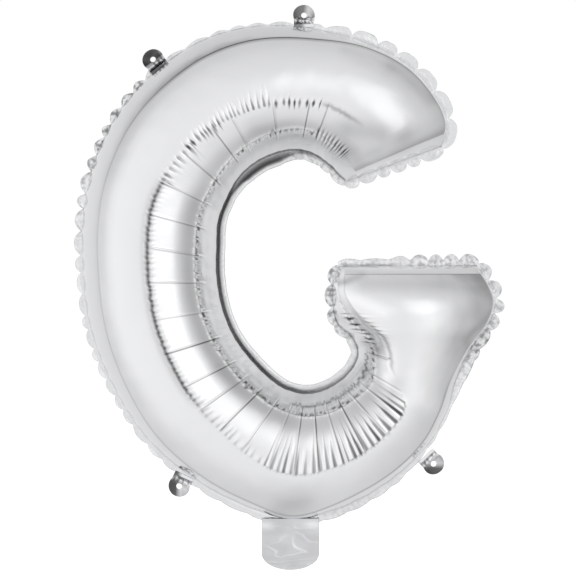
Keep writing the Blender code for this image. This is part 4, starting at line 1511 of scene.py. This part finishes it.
def build_tail_film(name, node, side, seed):
    x, z = tail_outline()
    wave_height, spacing, closer_x, closer_z = TAIL_WAVE
    broad = crumple_noise(closer_x * x, closer_z * z, spacing, seed)
    streak_height, spacing, closer_x, closer_z = TAIL_STREAK
    fold = crumple_noise(closer_x * x, closer_z * z, spacing, seed + 1)
    free = np.clip((TAIL_FOLD_Z[0] - z) / TAIL_FREE_FADE, 0.0, 1.0)
    streak = 1.0 - np.minimum(np.abs(fold) * TAIL_STREAK_SHARPNESS, 1.0)
    relief = TAIL_JOINED_RELIEF + (1.0 - TAIL_JOINED_RELIEF) * free
    lift = TAIL_FILM_OFFSET + (wave_height * broad + streak_height * streak) * relief
    lift = np.maximum(lift, TAIL_LEAST_OFFSET)
    middle = bell(x, TAIL_CENTRE_X, TAIL_MIDDLE_SIZE[0]) * bell(z, TAIL_MIDDLE_Z, TAIL_MIDDLE_SIZE[1])
    painted_highlight = TAIL_OUTER_HIGHLIGHT_SHARE + (1.0 - TAIL_OUTER_HIGHLIGHT_SHARE) * middle
    shadow = TAIL_WAVE_PAINTED_SHADE * broad - TAIL_STREAK_PAINTED_HIGHLIGHT * streak * painted_highlight * free
    for patch_x, patch_z in TAIL_PAINTED_HIGHLIGHT_PATCHES:
        away = np.hypot(x - patch_x * MM, TAIL_PATCH_FLATNESS * (z - patch_z * MM))
        shadow -= TAIL_PATCH_PAINTED_HIGHLIGHT * bell(away, 0.0, TAIL_PATCH_SIZE)
    piece = film_piece(name, np.stack([x, side * lift, z], -1), False, foils["tail_foil"], shadow)
    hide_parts(node)
    start, end = [(TAIL_CENTRE_X, 0.0, level) for level in TAIL_FOLD_Z]
    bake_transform(piece)
    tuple(start)
    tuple(end)
    return piece


for row in TAIL_FILMS:
    print(build_tail_film(*row).name)

# %% [markdown]
# The sleeve keeps its plain solid, because only its edge shows between the films. It is a
# soft, milky film without metal, with a faint cloud in its colour.

# %% Valve sleeve
MILKY_DARK, MILKY_LIGHT = (0.74, 0.75, 0.76, 1.0), (0.86, 0.87, 0.88, 1.0)
MILKY_CLOUD_SCALE = 120.0


def milky_film():
    material = bpy.data.materials.new("valve_film")
    material.use_nodes = True
    tree = material.node_tree
    shader = tree.nodes["Principled BSDF"]
    place = tree.nodes.new("ShaderNodeTexCoord").outputs["Object"]
    cloud = noise_node(tree, place, MILKY_CLOUD_SCALE, 2.0)
    tint = tree_node(tree, "ShaderNodeValToRGB", {"Fac": cloud})
    tint.color_ramp.elements[0].color = MILKY_DARK
    tint.color_ramp.elements[1].color = MILKY_LIGHT
    tree.links.new(tint.outputs["Color"], shader.inputs["Base Color"])
    shader.inputs["Roughness"].default_value = 0.45
    return material


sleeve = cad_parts["valve_sleeve"]
sleeve.data.materials.clear()
sleeve.data.materials.append(milky_film())
print("sleeve dressed")

# %% [markdown]
# ## Studio
# Foil has no colour of its own: it shows the room, and twice as steeply as it leans. The
# room is a soft white cyclorama. Its four sides are each a row of tones from the camera's
# side round to the back, with a dark gap at the edge of the set, which draws the crisp
# dark lines along the creases. Lamps would do the same with more noise, so a world shader
# is used.

# %% Tones of the room
FOIL_REFLECTANCE = 0.88
STUDIO_SIDES = (
    # axis and direction of a side, then: degrees from the camera's direction, tone that
    # foil shows there, 0 to 255
    ("X", 1.0, (
        (0, 230), (18, 239), (28, 237), (38, 222), (50, 206), (66, 194), (76, 180), (84, 150),
        (91, 180), (102, 207), (130, 211), (180, 236),
    )),
    ("Z", 1.0, (
        (0, 230), (20, 228), (32, 222), (45, 216), (58, 209), (68, 196), (76, 130), (84, 60),
        (91, 150), (100, 200), (130, 204), (180, 236),
    )),
    ("X", -1.0, (
        (0, 230), (22, 238), (40, 242), (48, 233), (56, 212), (66, 202), (76, 198), (84, 190),
        (92, 205), (103, 218), (130, 224), (180, 238),
    )),
    ("Z", -1.0, (
        (0, 230), (20, 232), (40, 229), (55, 219), (66, 206), (76, 184), (84, 140), (91, 170),
        (102, 200), (120, 208), (130, 210), (180, 236),
    )),
)


def light_for_tone(tone):
    """Linear light that foil shows as a display tone from 0 to 255."""
    return ((tone / 255.0 + 0.055) / 1.055) ** 2.4 / FOIL_REFLECTANCE


def side_ramp(tree, angle, stops):
    """Colour ramp of a side's tones over the angle from the camera's direction."""
    tones = tree_node(tree, "ShaderNodeValToRGB", {0: angle})
    elements = tones.color_ramp.elements
    while len(elements) < len(stops):
        elements.new(0.5)
    for element, (degrees, tone) in zip(elements, stops):
        element.position = degrees / 180.0
        element.color = (light_for_tone(tone),) * 3 + (1.0,)
    return tones.outputs["Color"]


def cyclorama(tree, away):
    """Light from each direction: the four sides' tones, weighed by how much it faces them."""
    parts = tree_node(tree, "ShaderNodeSeparateXYZ", {0: away}).outputs
    towards_camera = calc(tree, "MULTIPLY", parts["Y"], -1.0)
    angle = calc(tree, "DIVIDE", calc(tree, "ARCCOSINE", towards_camera), math.pi)
    spread = calc(tree, "SUBTRACT", 1.0, calc(tree, "MULTIPLY", parts["Y"], parts["Y"]))
    spread = calc(tree, "ADD", spread, 1e-6)
    light = (0.0, 0.0, 0.0)
    for axis, sign, stops in STUDIO_SIDES:
        facing = calc(tree, "MAXIMUM", calc(tree, "MULTIPLY", parts[axis], sign), 0.0)
        weight = calc(tree, "DIVIDE", calc(tree, "MULTIPLY", facing, facing), spread)
        seen = vector_calc(tree, "SCALE", side_ramp(tree, angle, stops), weight)
        light = vector_calc(tree, "ADD", light, seen)
    return light


print(len(STUDIO_SIDES), "sides of the room")

# %% [markdown]
# Two soft boxes add the broad highlights, one in front at the upper right and one far out
# at the left. The camera itself sees plain white behind the balloon.

# %% Sky
SOFT_BOXES = (
    # degrees from the camera's direction, degrees anticlockwise from the right, half size
    # in degrees, added light
    (23.0, 40.0, 14.0, 0.22),
    (68.0, 178.0, 14.0, 0.10),
)
# shares of the half size between which the edge of a box fades
SOFT_BOX_EDGE = (1.5, 0.5)


def soft_box(tree, away, off_axis, turn, half_size, strength):
    off_axis, turn = math.radians(off_axis), math.radians(turn)
    centre = (math.sin(off_axis) * math.cos(turn), -math.cos(off_axis), math.sin(off_axis) * math.sin(turn))
    inputs = {0: away, 1: centre}
    inside = tree_node(tree, "ShaderNodeVectorMath", inputs, operation="DOT_PRODUCT").outputs["Value"]
    edge = [math.cos(math.radians(half_size * share)) for share in SOFT_BOX_EDGE]
    return ramp(tree, inside, *edge, 0.0, strength, interpolation_type="SMOOTHSTEP")


def make_sky():
    world = bpy.data.worlds.new("studio")
    bpy.context.scene.world = world
    world.use_nodes = True
    tree = world.node_tree
    away = tree.nodes.new("ShaderNodeTexCoord").outputs["Generated"]
    light = cyclorama(tree, away)
    for box in SOFT_BOXES:
        light = vector_calc(tree, "ADD", light, soft_box(tree, away, *box))
    room = tree.nodes["Background"]
    tree.links.new(light, room.inputs["Color"])
    white = tree_node(tree, "ShaderNodeBackground", {"Color": (1.0, 1.0, 1.0, 1.0)})
    seen = tree.nodes.new("ShaderNodeLightPath").outputs["Is Camera Ray"]
    mix = tree_node(tree, "ShaderNodeMixShader", {0: seen, 1: room.outputs[0], 2: white.outputs[0]})
    tree.links.new(mix.outputs[0], tree.nodes["World Output"].inputs["Surface"])
    return world


print("sky", len(make_sky().node_tree.nodes), "nodes")

# %% [markdown]
# The floor lies a little below the tail. It glows faintly, as a pale floor does under
# studio light, and the foil doesn't reflect it, because its tones are in the room already.

# %% Floor
FLOOR_DROP = 0.06
FLOOR_RADIUS = 4.0
FLOOR_CORNERS = 64
FLOOR_LOOKS = {
    "Base Color": (0.9, 0.9, 0.9, 1.0), "Roughness": 0.9,
    "Emission Color": (1.0, 1.0, 1.0, 1.0), "Emission Strength": 0.6,
}


def make_floor():
    angles = np.arange(FLOOR_CORNERS) * 2.0 * math.pi / FLOOR_CORNERS
    ring = np.stack([np.cos(angles), np.sin(angles), np.zeros(FLOOR_CORNERS)], -1) * FLOOR_RADIUS
    ring[:, 2] = cad_low.z - FLOOR_DROP
    floor = mesh_object("floor", ring, [list(range(FLOOR_CORNERS))])
    material = bpy.data.materials.new("floor")
    material.use_nodes = True
    shader = material.node_tree.nodes["Principled BSDF"]
    for label, value in FLOOR_LOOKS.items():
        shader.inputs[label].default_value = value
    floor.data.materials.append(material)
    floor.visible_glossy = False
    return floor


make_floor()
bpy.context.scene.view_settings.view_transform = "Standard"
print("floor at", round(cad_low.z - FLOOR_DROP, 3), "m")
